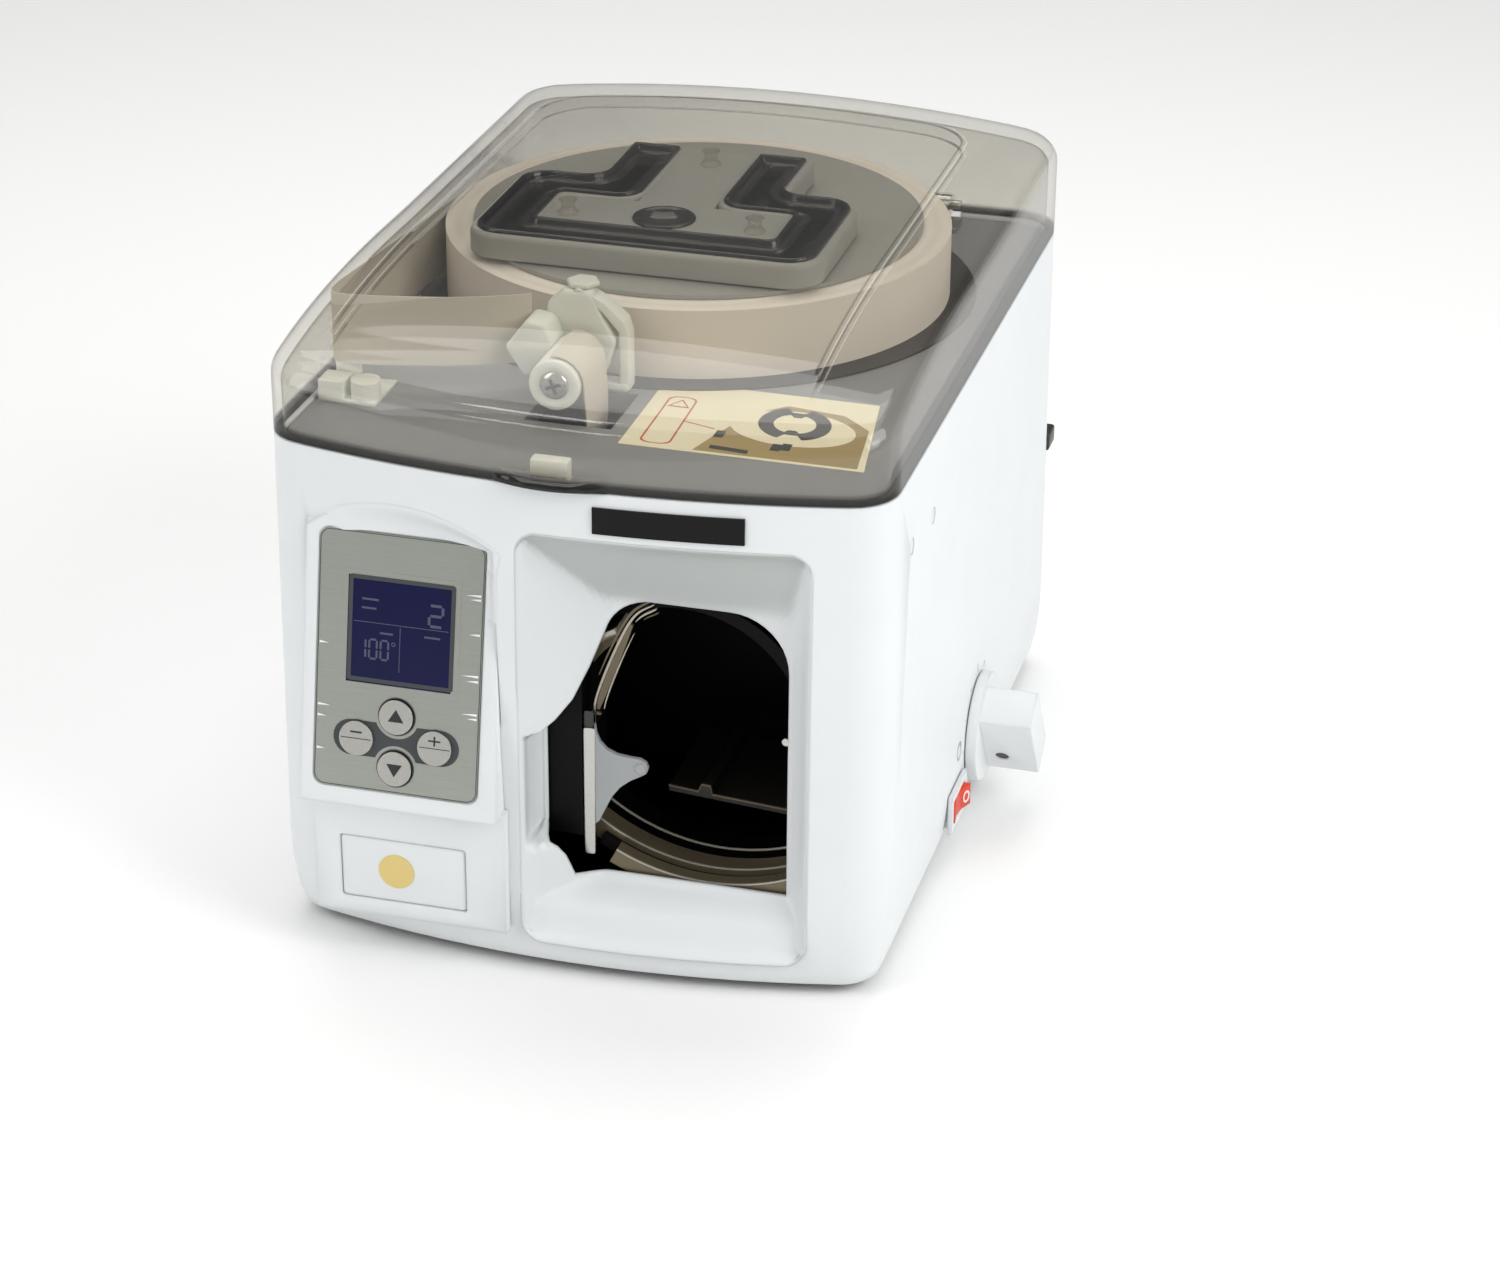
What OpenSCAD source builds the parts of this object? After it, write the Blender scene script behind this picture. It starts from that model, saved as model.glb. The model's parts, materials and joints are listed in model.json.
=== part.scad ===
// Banknote strapping machine: a counter unit that feeds 20 mm paper tape from a roll
// under a smoky lid, down through the deck, and round a bundle held in the front window.
// Lengths are in millimetres. Measured from the middle of the front corners: +X is the
// right-hand side, +Y runs to the back, and +Z is up from the table.

/* [Housing] */
// Width of the housing at its widest
body_w = 170; // [166:0.5:176]
// Depth of the housing from its front corners to its back
body_d = 222; // [218:1:230]
// Height of the lid line above the table
body_h = 144; // [143:0.5:150]
// How far the front face bows out at its middle
front_bow = 12; // [10:0.5:13]
// Wall thickness of the housing
wall = 3; // [2.5:0.1:3.2]
// Radius of the upright corners
corner_r = 14; // [11:1:17]
// How far the sides lean in between the widest line and the lid line
draft = 1; // [0.5:0.1:1.5]
// How far the foot of the housing curves in
hem_in = 5; // [3:0.5:7]
// Height over which the foot curves in
hem_h = 24; // [18:1:30]
// Height of the rubber feet below the base
foot_h = 3; // [2:0.5:4]
// Thickness of the base plate
base_t = 2; // [1.5:0.1:2.5]

/* [Deck and reel] */
// Thickness of the deck under the lid
deck_t = 5; // [4:0.25:6]
// How far the deck sits below the lid line
deck_drop = 1; // [0.5:0.25:2]
// Space between the full tape roll and the back of the housing
reel_back = 10; // [9:0.5:14]
// Space between the full tape roll and each side of the housing
reel_side = 13; // [12:0.5:16]
// Depth kept in front of the roll for the tape guides
guide_room = 62; // [60:0.5:66]
// Width of the tape
tape_w = 20; // [18:0.5:20]
// Thickness of the tape strip as drawn
tape_t = 0.4; // [0.3:0.05:0.6]
// Sideways place of the reel's axis
reel_x = -6; // [-7:0.5:-4]
// How far the turntable stays inside the roll's edge
table_in = 12; // [10:1:20]
// How far the grey flange stays inside the roll's edge
flange_in = 8; // [6:1:16]
// Thickness of the turntable and of the flange
disc_t = 1.2; // [1:0.1:1.4]
// Depth of the round recess in the deck for the turntable
recess_d = 1.5; // [1:0.25:2]
// Inner radius of the tape's cardboard core
core_r = 19; // [17:0.5:21]
// Wall of the cardboard core
core_t = 2.5; // [2:0.25:3]
// Radius of the fixed spindle
spindle_r = 5; // [4:0.5:6]

/* [Lid] */
// Wall of the smoky lid
lid_t = 2.5; // [2:0.1:2.6]
// Height of the lid's front edge before it starts to curve back
lid_nose = 13; // [11:0.5:14]
// Height of the lid's shoulders above the lid line
lid_rise = 28; // [28:0.5:31]
// Extra height of the lid's crown
lid_crown = 6; // [5:0.5:8]
// How far back the nose curve reaches
nose_len = 110; // [95:1:120]
// Furthest the lid opens, in degrees
lid_open = 95; // [80:1:95]
// Sideways place of each hinge
hinge_x = 48; // [40:1:56]
// Radius of the hinge pins
pin_r = 1.5; // [1.25:0.05:1.75]
// Width of a hinge bracket
bracket_w = 5; // [4:0.25:6]
// Width of a hinge lug on the lid
lug_w = 2.5; // [2:0.25:3]

/* [Roll holder under the lid] */
// Width over the shoulders of the holder
holder_w = 101; // [96:1:103]
// Sideways place of the holder's middle
holder_x = -9; // [-10:0.5:-7]
// How far the holder's front lies ahead of the reel's axis
holder_fore = 52; // [48:0.5:56]
// Depth of the holder's wide front bar
holder_bar = 56; // [52:0.5:60]
// Length of the arms behind the bar
arm_len = 49; // [46:1:52]
// Width of each arm and of the bar's sides
arm_w = 18; // [16:0.5:19]
// Distance between the middles of the two arms
arm_pitch = 38; // [36:0.5:42]
// Wall between the ribbon's edge and the black channel in it
holder_rim = 2.25; // [2:0.25:3]
// Width of the lip of the black channel
channel_lip = 1.6; // [1.2:0.1:2.2]

/* [Control panel] */
// Lean of the control panel from the vertical, in degrees
panel_tilt = 11; // [8:0.5:13]
// Width of the metal overlay
overlay_w = 45.5; // [44:0.25:47]
// Thickness of the overlay
overlay_t = 0.6; // [0.4:0.1:0.8]
// Distance of the overlay's upper edge below the lid line
panel_drop = 21.2; // [20:0.2:24]
// Height of the step below the overlay's island
bezel_low = 49; // [46:0.5:50]
// Place of the overlay's middle, to the left of the middle of the front
panel_x = -44; // [-46:0.25:-43]
// Radius of a round key
key_r = 4.7; // [4:0.1:4.9]
// How far a key travels
key_travel = 0.8; // [0.4:0.1:1]
// How far a key stands out of the overlay
key_out = 0.9; // [0.8:0.1:1.2]
// Half the distance between the left and right keys
key_du = 10.9; // [10.5:0.1:12]

/* [Front window] */
// Left edge of the opening
win_x0 = -8; // [-9:0.25:-7]
// Distance of the opening's right edge from the side of the housing
win_side = 27; // [26:0.25:29]
// Lower edge of the opening
win_z0 = 28; // [26:0.25:30]
// Distance of the opening's upper edge below the lid line
win_drop = 34.5; // [33:0.25:37]
// Margin of the recessed frame to the left of the opening
win_left = 3.5; // [3:0.25:5]
// Margin of the recessed frame to the right of the opening
win_right = 7; // [5:0.25:8]
// Height of the recessed frame above the opening
win_above = 21; // [19:0.5:22]
// Height of the sill below the opening
win_below = 16.5; // [14:0.5:18]
// Radius of the opening's upper right corner
win_r = 16; // [12:0.5:20]
// How far the tape's loop track reaches beyond the opening
loop_over = 1; // [0.5:0.25:1.5]
// Wall of the loop track
loop_t = 5; // [4:0.25:6]
// Depth of the loop track
loop_d = 22; // [21:0.25:24]
// Depth of the bundle chamber behind the track
chamber_d = 50; // [40:1:54]

/* [Drive] */
// Radius of the feed rollers
feed_r = 6; // [5:0.25:7]
// Radius of the drive shafts
shaft_r = 2.5; // [2:0.1:3]
// Smallest radius of the spiral cams
cam_r = 7; // [6:0.25:8]
// Growth of a cam's radius over its working turn
cam_rise = 5; // [3:0.25:6]
// Working turn of the cams, in degrees
cam_turn = 150; // [120:5:180]
// Thickness of each cam
cam_t = 5; // [4:0.25:6]
// Radius of the notched home disc on the cam shaft
home_r = 24; // [20:0.5:26]
// Thickness of the home disc
home_t = 4; // [3:0.25:5]
// Radius of the feed motor
feed_motor_r = 14; // [12:0.5:16]
// Length of the feed motor
feed_motor_l = 44; // [36:1:50]
// Radius of the cam motor
cam_motor_r = 20; // [17:0.5:22]
// Length of the cam motor
cam_motor_l = 40; // [34:1:46]

/* [Side controls] */
// Radius of the flange of the side knob
knob_r = 16; // [14:0.5:17]
// How far the knob's grip stands out of the side
knob_out = 15; // [12:0.5:18]
// Length of the rocker switch
rocker_l = 19; // [17:0.25:21]
// Width of the rocker switch
rocker_w = 12; // [10:0.25:13]
// Width of the rim of the rocker's frame
rocker_rim = 2.4; // [2:0.1:2.8]
// Radius of the rocker's pivot
rocker_pin = 1.2; // [1:0.05:1.5]
// Full tilt of the rocker, in degrees
rocker_tilt = 14; // [10:1:16]
// Distance of the knob from the back of the housing
knob_back = 108; // [104:0.5:114]
// Distance of the rocker ahead of the knob
rocker_fore = 27; // [26:0.5:30]

/* [Fits] */
// Gap left between moulded pieces
gap = 0.3; // [0.2:0.05:0.4]
// Radial running clearance of shafts and pins
run = 0.05; // [0.02:0.01:0.08]
// How far the screw bosses stand from the inner sides
boss_side = 10; // [9:0.5:12]
// How far the screw bosses stand from the front corners and the back
boss_in = 22; // [20:0.5:26]
// How far the feet stand from the sides
foot_side = 30; // [26:0.5:34]

/* [Hidden] */

big = 400;
bow_r = (body_w * body_w / 4 + front_bow * front_bow) / (2 * front_bow);
base_z = foot_h;
floor_z = base_z + base_t;
deck_z = body_h - deck_drop;
deck_under = deck_z - deck_t;
inner_w = body_w - 2 * draft - 2 * wall;
side_x = body_w / 2;
roll_r = min(body_w / 2 - reel_side, (body_d - reel_back - guide_room) / 2);
reel_y = body_d - reel_back - roll_r;
table_r = roll_r - table_in;
flange_r = roll_r - flange_in;
holder_y = reel_y - holder_fore;

// reel levels
recess_z = deck_z - recess_d;
table_z = recess_z + gap;
roll_z = table_z + disc_t + 0.1;
roll_top = roll_z + tape_w;
flange_z = roll_top + 0.1;
holder_z = flange_z + disc_t + 2 * gap;

// lid levels and hinge
lid_z = body_h + 0.4;
shoulder_z = body_h + lid_rise;
crown_z = shoulder_z + lid_crown;
holder_top = crown_z - lid_t - 3.6;
axis_y = body_d - draft - 1.3;
axis_z = lid_z + 1.5;
knuckle_r = pin_r + 1.5;

// tape path
post_x = -inner_w / 2 + 5.5;
post_y = 42;
post_r = 3.5;
roller_r = 7;
roller_x = -15;
roller_y0 = 33;
roller_y1 = roller_y0 + tape_w + 3;
roller_z = deck_z + roller_r + 3;
drop_x = roller_x + roller_r + tape_t / 2 + gap;
slot_y0 = roller_y0 - 1;
slot_y1 = roller_y1 + 1;
slot_w = 24;

// control panel: its own frame has u to the right, n outwards and v up the slope
panel_y = -5;
overlay_top = body_h - panel_drop;
overlay_h = overlay_top - bezel_low - 3.8;
display_w = overlay_h * 0.414;
key_dv = overlay_h * 0.1014;
bezel_x0 = panel_x - overlay_w / 2 - 4;
bezel_x1 = panel_x + overlay_w / 2 + 5.5;
bezel_taper = 2.6;
bezel_arch = 9;
bezel_t = 3;
bezel_drop = overlay_top - bezel_low;
bezel_edge_y = panel_y - bezel_drop * tan(panel_tilt);
lower_y = bezel_edge_y + 4.5;
lower_z = 14;
key_v = -overlay_h * 0.8;
display_v = -overlay_h * 0.1686 - display_w / 2;
hatch_w = overlay_w - 10;
hatch_h = bezel_low - lower_z - 16;
hatch_z = (bezel_low + lower_z) / 2 - 3.5;
hatch_x = panel_x + 0.3;
label_z = body_h - win_drop + win_above + 2.6;
label_h = 7.2;
label_x0 = 9.3;
label_w = 39;

// window stack from the front to the back
win_x1 = body_w / 2 - win_side;
win_z1 = body_h - win_drop;
win_h = win_z1 - win_z0;
loop_r = (win_x1 - win_x0) / 2 + loop_over;
loop_a0 = 118;
loop_a1 = 235;
frame_t = 3;
frame_back = 3.2;
track_y0 = frame_back;
track_y1 = track_y0 + loop_d;
chamber_y1 = track_y1 + chamber_d;
loop_x = (win_x0 + win_x1) / 2;
loop_z = (win_z0 + win_z1) / 2 - 0.5;
chassis_t = 2;
chassis_y = chamber_y1;

// drive
nip_x = drop_x;
feed_x = nip_x + feed_r + tape_t / 2 + gap;
pinch_x = nip_x - feed_r - tape_t / 2 - gap;
feed_z = deck_under - feed_r - 9;
cheek_t = 2.5;
cam_x = -52;
cam_z = loop_z;
bar_h = 8;
clamp_y = track_y0 + 2;
heater_y = clamp_y + cam_t + 5;
head_x0 = win_x0 - 8;
head_x1 = win_x0 + 9.2;

// side controls
knob_y = body_d - knob_back;
knob_z = 27;
knob_hub = 9;
grip_turn = 35;
grip_t = 12;
rocker_y = knob_y - rocker_fore;
rocker_z = 16;
rocker_lip = 1.4;
pivot_x = side_x - 2;

// the whole model is moved so that its box is centred over the origin
box_x0 = -side_x;
box_x1 = side_x + gap + 3 + knob_out;
box_y0 = bezel_edge_y;
box_y1 = axis_y + knuckle_r;

// depth of the bowed front face at a given place across it
function face_y(x, inset = 0) =
    bow_r - front_bow - sqrt((bow_r - inset) * (bow_r - inset) - x * x);

function arc(cx, cy, r, a0, a1, n) =
    [for (i = [0:n]) let (a = a0 + (a1 - a0) * i / n) [cx + r * cos(a), cy + r * sin(a)]];

// plan of the housing: straight sides, round corners and a bowed front; back gives the
// extra distance by which the front is set back
function plan(inset, back = 0) =
    let (
        hw = body_w / 2 - inset,
        r = max(corner_r - inset, 1),
        rb = bow_r - inset,
        yb = bow_r - front_bow + back,
        yc = yb - sqrt((rb - r) * (rb - r) - (hw - r) * (hw - r)),
        turn = asin((hw - r) / (rb - r))
    )
    concat(
        arc(hw - r, body_d - inset - r, r, 0, 90, 6),
        arc(-hw + r, body_d - inset - r, r, 90, 180, 6),
        arc(-hw + r, yc, r, 180, 270 - turn, 5),
        arc(0, yb, rb, 270 - turn, 270 + turn, 16),
        arc(hw - r, yc, r, 270 + turn, 360, 5)
    );

module place() {
    translate([-(box_x0 + box_x1) / 2, -(box_y0 + box_y1) / 2, 0]) children();
}

module slab(z, inset, back = 0, t = 0.1) {
    translate([0, 0, z]) linear_extrude(t) polygon(plan(inset, back));
}

module along_y(x, z, y0, y1) {
    translate([x, y1, z]) rotate([90, 0, 0]) linear_extrude(y1 - y0) children();
}

module along_x(x0, x1, y, z) {
    translate([x0, y, z]) rotate([90, 0, 90]) linear_extrude(x1 - x0) children();
}

module rounded(w, h, r) {
    square([w - 2 * r, h], center = true);
    square([w, h - 2 * r], center = true);
    for (sx = [-1, 1], sy = [-1, 1])
        translate([sx * (w / 2 - r), sy * (h / 2 - r)]) circle(r, $fn = 32);
}

module block(x0, x1, y0, y1, z0, z1) {
    translate([x0, y0, z0]) cube([x1 - x0, y1 - y0, z1 - z0]);
}

// the bowed front as a solid, d inside the surface, leaning in towards the lid line
module front_solid(d) {
    z0 = base_z + hem_h;
    translate([0, bow_r - front_bow, 0]) {
        translate([0, 0, -1]) cylinder(r = bow_r - d, h = z0 + 1, $fn = 360);
        translate([0, 0, z0])
            cylinder(r1 = bow_r - d, r2 = bow_r - d - draft, h = body_h - z0, $fn = 360);
    }
}

// a skin that follows the bowed front, from depth d0 to depth d1 behind it
module bowed_skin(d0, d1, x0, x1, z0, z1) {
    intersection() {
        difference() {
            front_solid(d0);
            front_solid(d1);
        }
        block(x0, x1, -front_bow - 2, 20, z0, z1);
    }
}

// ---- housing ----

module housing_form(extra, z0, z1) {
    hull() {
        for (a = [0:18:90])
            slab(z0 + hem_h * (1 - cos(a)), extra + hem_in * (1 - sin(a)));
        slab(z1 - 0.1, extra + draft);
    }
}

module boss_places() {
    for (sx = [0, 1], y = [boss_in, body_d - boss_in])
        mirror([sx, 0, 0]) translate([inner_w / 2 - boss_side, y, 0]) children();
}

module housing() {
    color("whitesmoke") place() difference() {
        union() {
            difference() {
                housing_form(0, base_z, body_h);
                housing_form(wall, base_z - 1, body_h + 1);
            }
            boss_places() translate([0, 0, floor_z]) difference() {
                union() {
                    cylinder(r = 4.5, h = deck_under - floor_z, $fn = 32);
                    block(0, boss_side + draft + wall / 2, -1, 1, 6, deck_under - floor_z);
                }
                translate([0, 0, -0.1]) cylinder(r = 1.5, h = 12, $fn = 24);
            }
        }
        along_y(0, 0, -30, 15) recess_outline(0, 0);
        intersection() {
            bezel_outline(gap);
            panel_plate(0, -35, -bezel_t - gap, 40) square([90, 140], center = true);
        }
        block(bezel_x0 + 5, bezel_x1 - 8, -30, 12, bezel_low + 4, overlay_top - 6);
        hinge_notches(lug_w + gap, body_h - 4, big);
        along_x(side_x - 12, side_x + 5, knob_y, knob_z) circle(shaft_r + 2, $fn = 48);
        block(side_x - 12, side_x + 5, rocker_y - rocker_l / 2 + 1, rocker_y + rocker_l / 2 - 1,
            rocker_z - rocker_w / 2 + 1, rocker_z + rocker_w / 2 - 1);
        side_screw_places() along_x(side_x - 8, side_x + 5, 0, 0) circle(2.2, $fn = 32);
        rear_window(0);
    }
}

module base_plate() {
    color("dimgray") place() difference() {
        slab(base_z, hem_in + wall + gap, 0, base_t);
        boss_places() translate([0, 0, base_z - 1]) cylinder(r = 1.7, h = 4, $fn = 32);
        foot_places() translate([0, 0, base_z - 1]) cylinder(r = 2, h = 4, $fn = 32);
        for (x = [-40:12:44]) block(x, x + 5, body_d - 102, body_d - 57, base_z - 1, base_z + 4);
    }
}

module foot_places() {
    for (sx = [-1, 1], y = [34, body_d - 42])
        translate([sx * (side_x - foot_side), y, 0]) children();
}

module feet() {
    color("black") place() foot_places() {
        cylinder(r1 = 8, r2 = 9, h = foot_h, $fn = 48);
        cylinder(r = 1.98, h = floor_z, $fn = 32);
    }
}

module base_screws() {
    color("silver") place() boss_places() {
        translate([0, 0, base_z - 1.8]) cylinder(r = 3, h = 1.8, $fn = 32);
        translate([0, 0, base_z - 0.1]) cylinder(r = 1.5, h = 12, $fn = 24);
    }
}

module rear_window(grow) {
    along_y(0, body_h / 2 - 6, body_d - 15, body_d + 5)
        rounded(body_w - 60 + 2 * grow, body_h - 48 + 2 * grow, 4);
}

module rear_cover() {
    inside = body_d - wall - draft - gap;
    color("whitesmoke") place() difference() {
        union() {
            along_y(0, body_h / 2 - 6, inside - 2, inside) rounded(body_w - 50, body_h - 38, 6);
            along_y(0, body_h / 2 - 6, inside - 1, body_d - 1)
                rounded(body_w - 60 - 2 * gap, body_h - 48 - 2 * gap, 4);
        }
        along_y(-34, 36, inside - 3, body_d + 5) square([27.6, 20.6], center = true);
        for (i = [0:8])
            along_y(i * 6 - 8, 84, inside - 3, body_d + 5) square([2.4, 34], center = true);
    }
}

// ---- deck ----

module deck() {
    color("gray") place() difference() {
        slab(deck_under, draft + wall + gap, 0, deck_t);
        translate([reel_x, reel_y, recess_z]) cylinder(r = roll_r + 1.5, h = 10, $fn = 180);
        translate([reel_x, reel_y, deck_under - 1]) cylinder(r = spindle_r, h = 10, $fn = 48);
        block(roller_x - 8, roller_x - 8 + slot_w, slot_y0, slot_y1, deck_under - 1, deck_z + 1);
    }
}

module hinge_places() {
    for (sx = [-1, 1]) translate([sx * hinge_x, 0, 0]) children();
}

module hinge_notches(side, z0, z1) {
    half = bracket_w / 2 + gap + side;
    hinge_places() block(-half, half, axis_y - knuckle_r - 1.5, body_d + 5, z0, z1);
}

module hinge_brackets() {
    color("silver") place() hinge_places() difference() {
        union() {
            along_x(-bracket_w / 2, bracket_w / 2, axis_y, axis_z) circle(knuckle_r, $fn = 48);
            block(-bracket_w / 2, bracket_w / 2, axis_y - 14, axis_y, deck_z, axis_z + 1.5);
            block(-bracket_w / 2 - 5, bracket_w / 2 + 5, axis_y - 16.5, axis_y - 8, deck_z, deck_z + 1.6);
        }
        along_x(-bracket_w, bracket_w, axis_y, axis_z) circle(pin_r + run, $fn = 48);
    }
}

module hinge_pins() {
    half = bracket_w / 2 + gap + lug_w;
    color("silver") place() hinge_places()
        along_x(-half, half, axis_y, axis_z) circle(pin_r, $fn = 48);
}

// ---- lid and the holder under it ----

// front view of the lid: a shallow crown with small round shoulders
module crown_view(t, z0) {
    hw = body_w / 2 - draft - t;
    r = 5 - t / 2;
    big_r = (hw * hw + lid_crown * lid_crown) / (2 * lid_crown);
    yb = crown_z - t - big_r;
    yc = yb + sqrt((big_r - r) * (big_r - r) - (hw - r) * (hw - r));
    turn = asin((hw - r) / (big_r - r));
    along_y(0, 0, -30, body_d + 10) polygon(concat(
        [[-hw, z0], [hw, z0]],
        arc(hw - r, yc, r, 0, 90 - turn, 4),
        arc(0, yb, big_r, 90 - turn, 90 + turn, 12),
        arc(-hw + r, yc, r, 90 + turn, 180, 4)));
}

// side view of the lid: an upright front edge that curves back into the crown
module side_view(t, z0) {
    front = -front_bow + draft + t;
    z1 = body_h + lid_nose;
    rise = crown_z - z1 - t;
    along_x(-body_w, body_w, 0, 0) polygon(concat(
        [[body_d + 10, crown_z - t], [body_d + 10, z0], [front, z0]],
        [for (a = [0:11.25:90]) [front + nose_len * (1 - cos(a)), z1 + rise * sin(a)]]));
}

module lid_form(t, z0) {
    intersection() {
        translate([0, 0, z0]) linear_extrude(crown_z) polygon(plan(draft + t));
        crown_view(t, z0);
        side_view(t, z0);
    }
}

module hinge_lugs() {
    for (sx = [-1, 1], s = [-1, 1]) {
        x0 = sx * hinge_x + (s > 0 ? bracket_w / 2 + gap : -bracket_w / 2 - gap - lug_w);
        along_x(x0, x0 + lug_w, axis_y, axis_z) circle(knuckle_r, $fn = 48);
        block(x0, x0 + lug_w, axis_y - knuckle_r, axis_y + 0.5, axis_z, axis_z + 16);
    }
}

module lid() {
    color([0.35, 0.3, 0.27, 0.4]) place() difference() {
        union() {
            difference() {
                lid_form(0, lid_z);
                lid_form(lid_t, lid_z - 1);
                hinge_notches(0, 0, axis_z + knuckle_r + gap);
                block(-big, big, body_d - 8, body_d + 5, 0, lid_z + 0.7);
            }
            hinge_lugs();
            intersection() {
                translate([-2, face_y(0) + 13.5, lid_z]) cylinder(r = 17, h = 3, $fn = 64);
                block(-20, 20, -40, face_y(0) + 1.5, 0, big);
            }
        }
        for (sx = [-1, 1])
            along_x(sx * hinge_x - 10, sx * hinge_x + 10, axis_y, axis_z) circle(pin_r, $fn = 48);
    }
}

module lid_catch() {
    lid_wall = face_y(0) + draft + lid_t;
    body_wall = face_y(0) + draft + wall;
    color("white") place() {
        block(-8, 2, lid_wall + 0.15, body_wall + 3.6, lid_z + 0.6, lid_z + 6);
        block(-8, 2, body_wall + 0.6, body_wall + 3.6, deck_z + 0.6, lid_z + 1);
    }
}

// rounds each corner of a closed outline; a point is [x, y, radius]
function smooth(p) = [for (i = [0:len(p) - 1])
    let (
        a = p[(i + len(p) - 1) % len(p)], b = p[i], c = p[(i + 1) % len(p)],
        u = [a[0] - b[0], a[1] - b[1]] / norm([a[0] - b[0], a[1] - b[1]]),
        v = [c[0] - b[0], c[1] - b[1]] / norm([c[0] - b[0], c[1] - b[1]]),
        half = acos(u * v) / 2,
        t = b[2] / tan(half),
        m = [b[0], b[1]] + (u + v) / norm(u + v) * b[2] / sin(half),
        p0 = [b[0], b[1]] + u * t - m,
        p1 = [b[0], b[1]] + v * t - m,
        a0 = atan2(p0[1], p0[0]),
        a1 = atan2(p1[1], p1[0]),
        d = a1 - a0 > 180 ? a1 - a0 - 360 : a1 - a0 < -180 ? a1 - a0 + 360 : a1 - a0,
        n = b[2] > 0 ? 6 : 0
    )
    each n == 0 ? [[b[0], b[1]]] : arc(m[0], m[1], b[2], a0, a0 + d, n)];

// the holder's ribbon: up one arm, round the wide bar at the front and down the other arm;
// e shrinks it on every side
function ribbon(e) =
    let (
        w = arm_w,
        xo = holder_w / 2 - e,
        xi = holder_w / 2 - w + e,
        ao = arm_pitch / 2 + w / 2 - e,
        ai = arm_pitch / 2 - w / 2 + e,
        y0 = holder_y + e,
        y1 = holder_y + w - e,
        k1 = holder_y + holder_bar - e,
        k0 = holder_y + holder_bar - w + e,
        ye = holder_y + holder_bar + arm_len - w - e,
        right = [[xo, y0, 9 - e], [xo, k1, 9 - e], [ao, k1, 5 + e], [ao, ye, 0]],
        inner = [[ai, ye, 0], [ai, k0, 9 - e], [xi, k0, 2 + e / 2], [xi, y1, 2 + e / 2]]
    )
    smooth(concat(
        right, inner,
        [for (i = [3:-1:0]) [-inner[i][0], inner[i][1], inner[i][2]]],
        [for (i = [3:-1:0]) [-right[i][0], right[i][1], right[i][2]]]
    ));

module on_holder(z) {
    translate([holder_x, 0, z]) children();
}

module roll_holder() {
    web = holder_top - 3;
    color("gray") place() on_holder(0) difference() {
        union() {
            translate([0, 0, holder_z]) linear_extrude(holder_top - holder_z) polygon(ribbon(0));
            block(-holder_w / 2 + arm_w - 1, holder_w / 2 - arm_w + 1, holder_y + arm_w - 1,
                holder_y + holder_bar - arm_w + 1, holder_z, web);
            block(-arm_pitch / 2 + arm_w / 2 - 1, arm_pitch / 2 - arm_w / 2 + 1, holder_y + arm_w - 1,
                holder_y + holder_bar + arm_len - arm_w, holder_z, web);
        }
        translate([0, 0, web]) linear_extrude(4) polygon(ribbon(holder_rim));
        translate([0, holder_y + arm_w + 8, web - 1]) cylinder(r = 8, h = 4, $fn = 64);
    }
}

module holder_channel() {
    color("black") place() on_holder(holder_top - 3) linear_extrude(2) difference() {
        polygon(ribbon(holder_rim));
        polygon(ribbon(holder_rim + channel_lip));
    }
}

module holder_dome() {
    color("black") place() on_holder(holder_top - 4) translate([0, holder_y + arm_w + 8, 0]) {
        cylinder(r = 7.6, h = 1.2, $fn = 64);
        translate([0, 0, 1.2]) intersection() {
            translate([0, 0, -8]) sphere(r = 10.5, $fn = 64);
            cylinder(r = 7, h = 2.6, $fn = 64);
        }
    }
}

// ---- reel ----

module at_reel() {
    translate([reel_x, reel_y, 0]) children();
}

module spindle() {
    color("silver") place() at_reel() {
        translate([0, 0, deck_under - 2]) cylinder(r = spindle_r - 0.02, h = roll_top - deck_under, $fn = 48);
        translate([0, 0, deck_under - 4]) cylinder(r = spindle_r + 4, h = 4, $fn = 6);
    }
}

module turntable() {
    color("gray") place() at_reel() difference() {
        union() {
            translate([0, 0, table_z]) cylinder(r = table_r, h = disc_t, $fn = 128);
            translate([0, 0, table_z]) cylinder(r = core_r - 0.5, h = flange_z + disc_t - table_z, $fn = 96);
        }
        translate([0, 0, table_z - 1]) cylinder(r = spindle_r + run, h = tape_w + 8, $fn = 48);
        for (a = [0:60:300]) rotate(a) translate([12, 0, table_z + disc_t]) cylinder(r = 4, h = tape_w + 8, $fn = 32);
    }
}

module tape_core() {
    color("burlywood") place() at_reel() translate([0, 0, roll_z]) difference() {
        cylinder(r = core_r + core_t, h = tape_w, $fn = 96);
        translate([0, 0, -1]) cylinder(r = core_r, h = tape_w + 2, $fn = 96);
    }
}

module tape_roll() {
    color("linen") place() at_reel() translate([0, 0, roll_z]) difference() {
        cylinder(r = roll_r, h = tape_w, $fn = 180);
        translate([0, 0, -1]) cylinder(r = core_r + core_t, h = tape_w + 2, $fn = 96);
    }
}

module reel_flange() {
    color("gray") place() at_reel() translate([0, 0, flange_z]) difference() {
        cylinder(r = flange_r, h = disc_t, $fn = 128);
        translate([0, 0, -1]) cylinder(r = core_r - 0.48, h = disc_t + 2, $fn = 96);
    }
}

// ---- tape guides on the deck ----

module guide_post() {
    color("white") place() translate([post_x, post_y, deck_z + 1.4]) difference() {
        cylinder(r = post_r, h = tape_w + 1, $fn = 48);
        translate([0, 0, -1]) cylinder(r = 1.5 + run, h = tape_w + 4, $fn = 32);
    }
}

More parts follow.
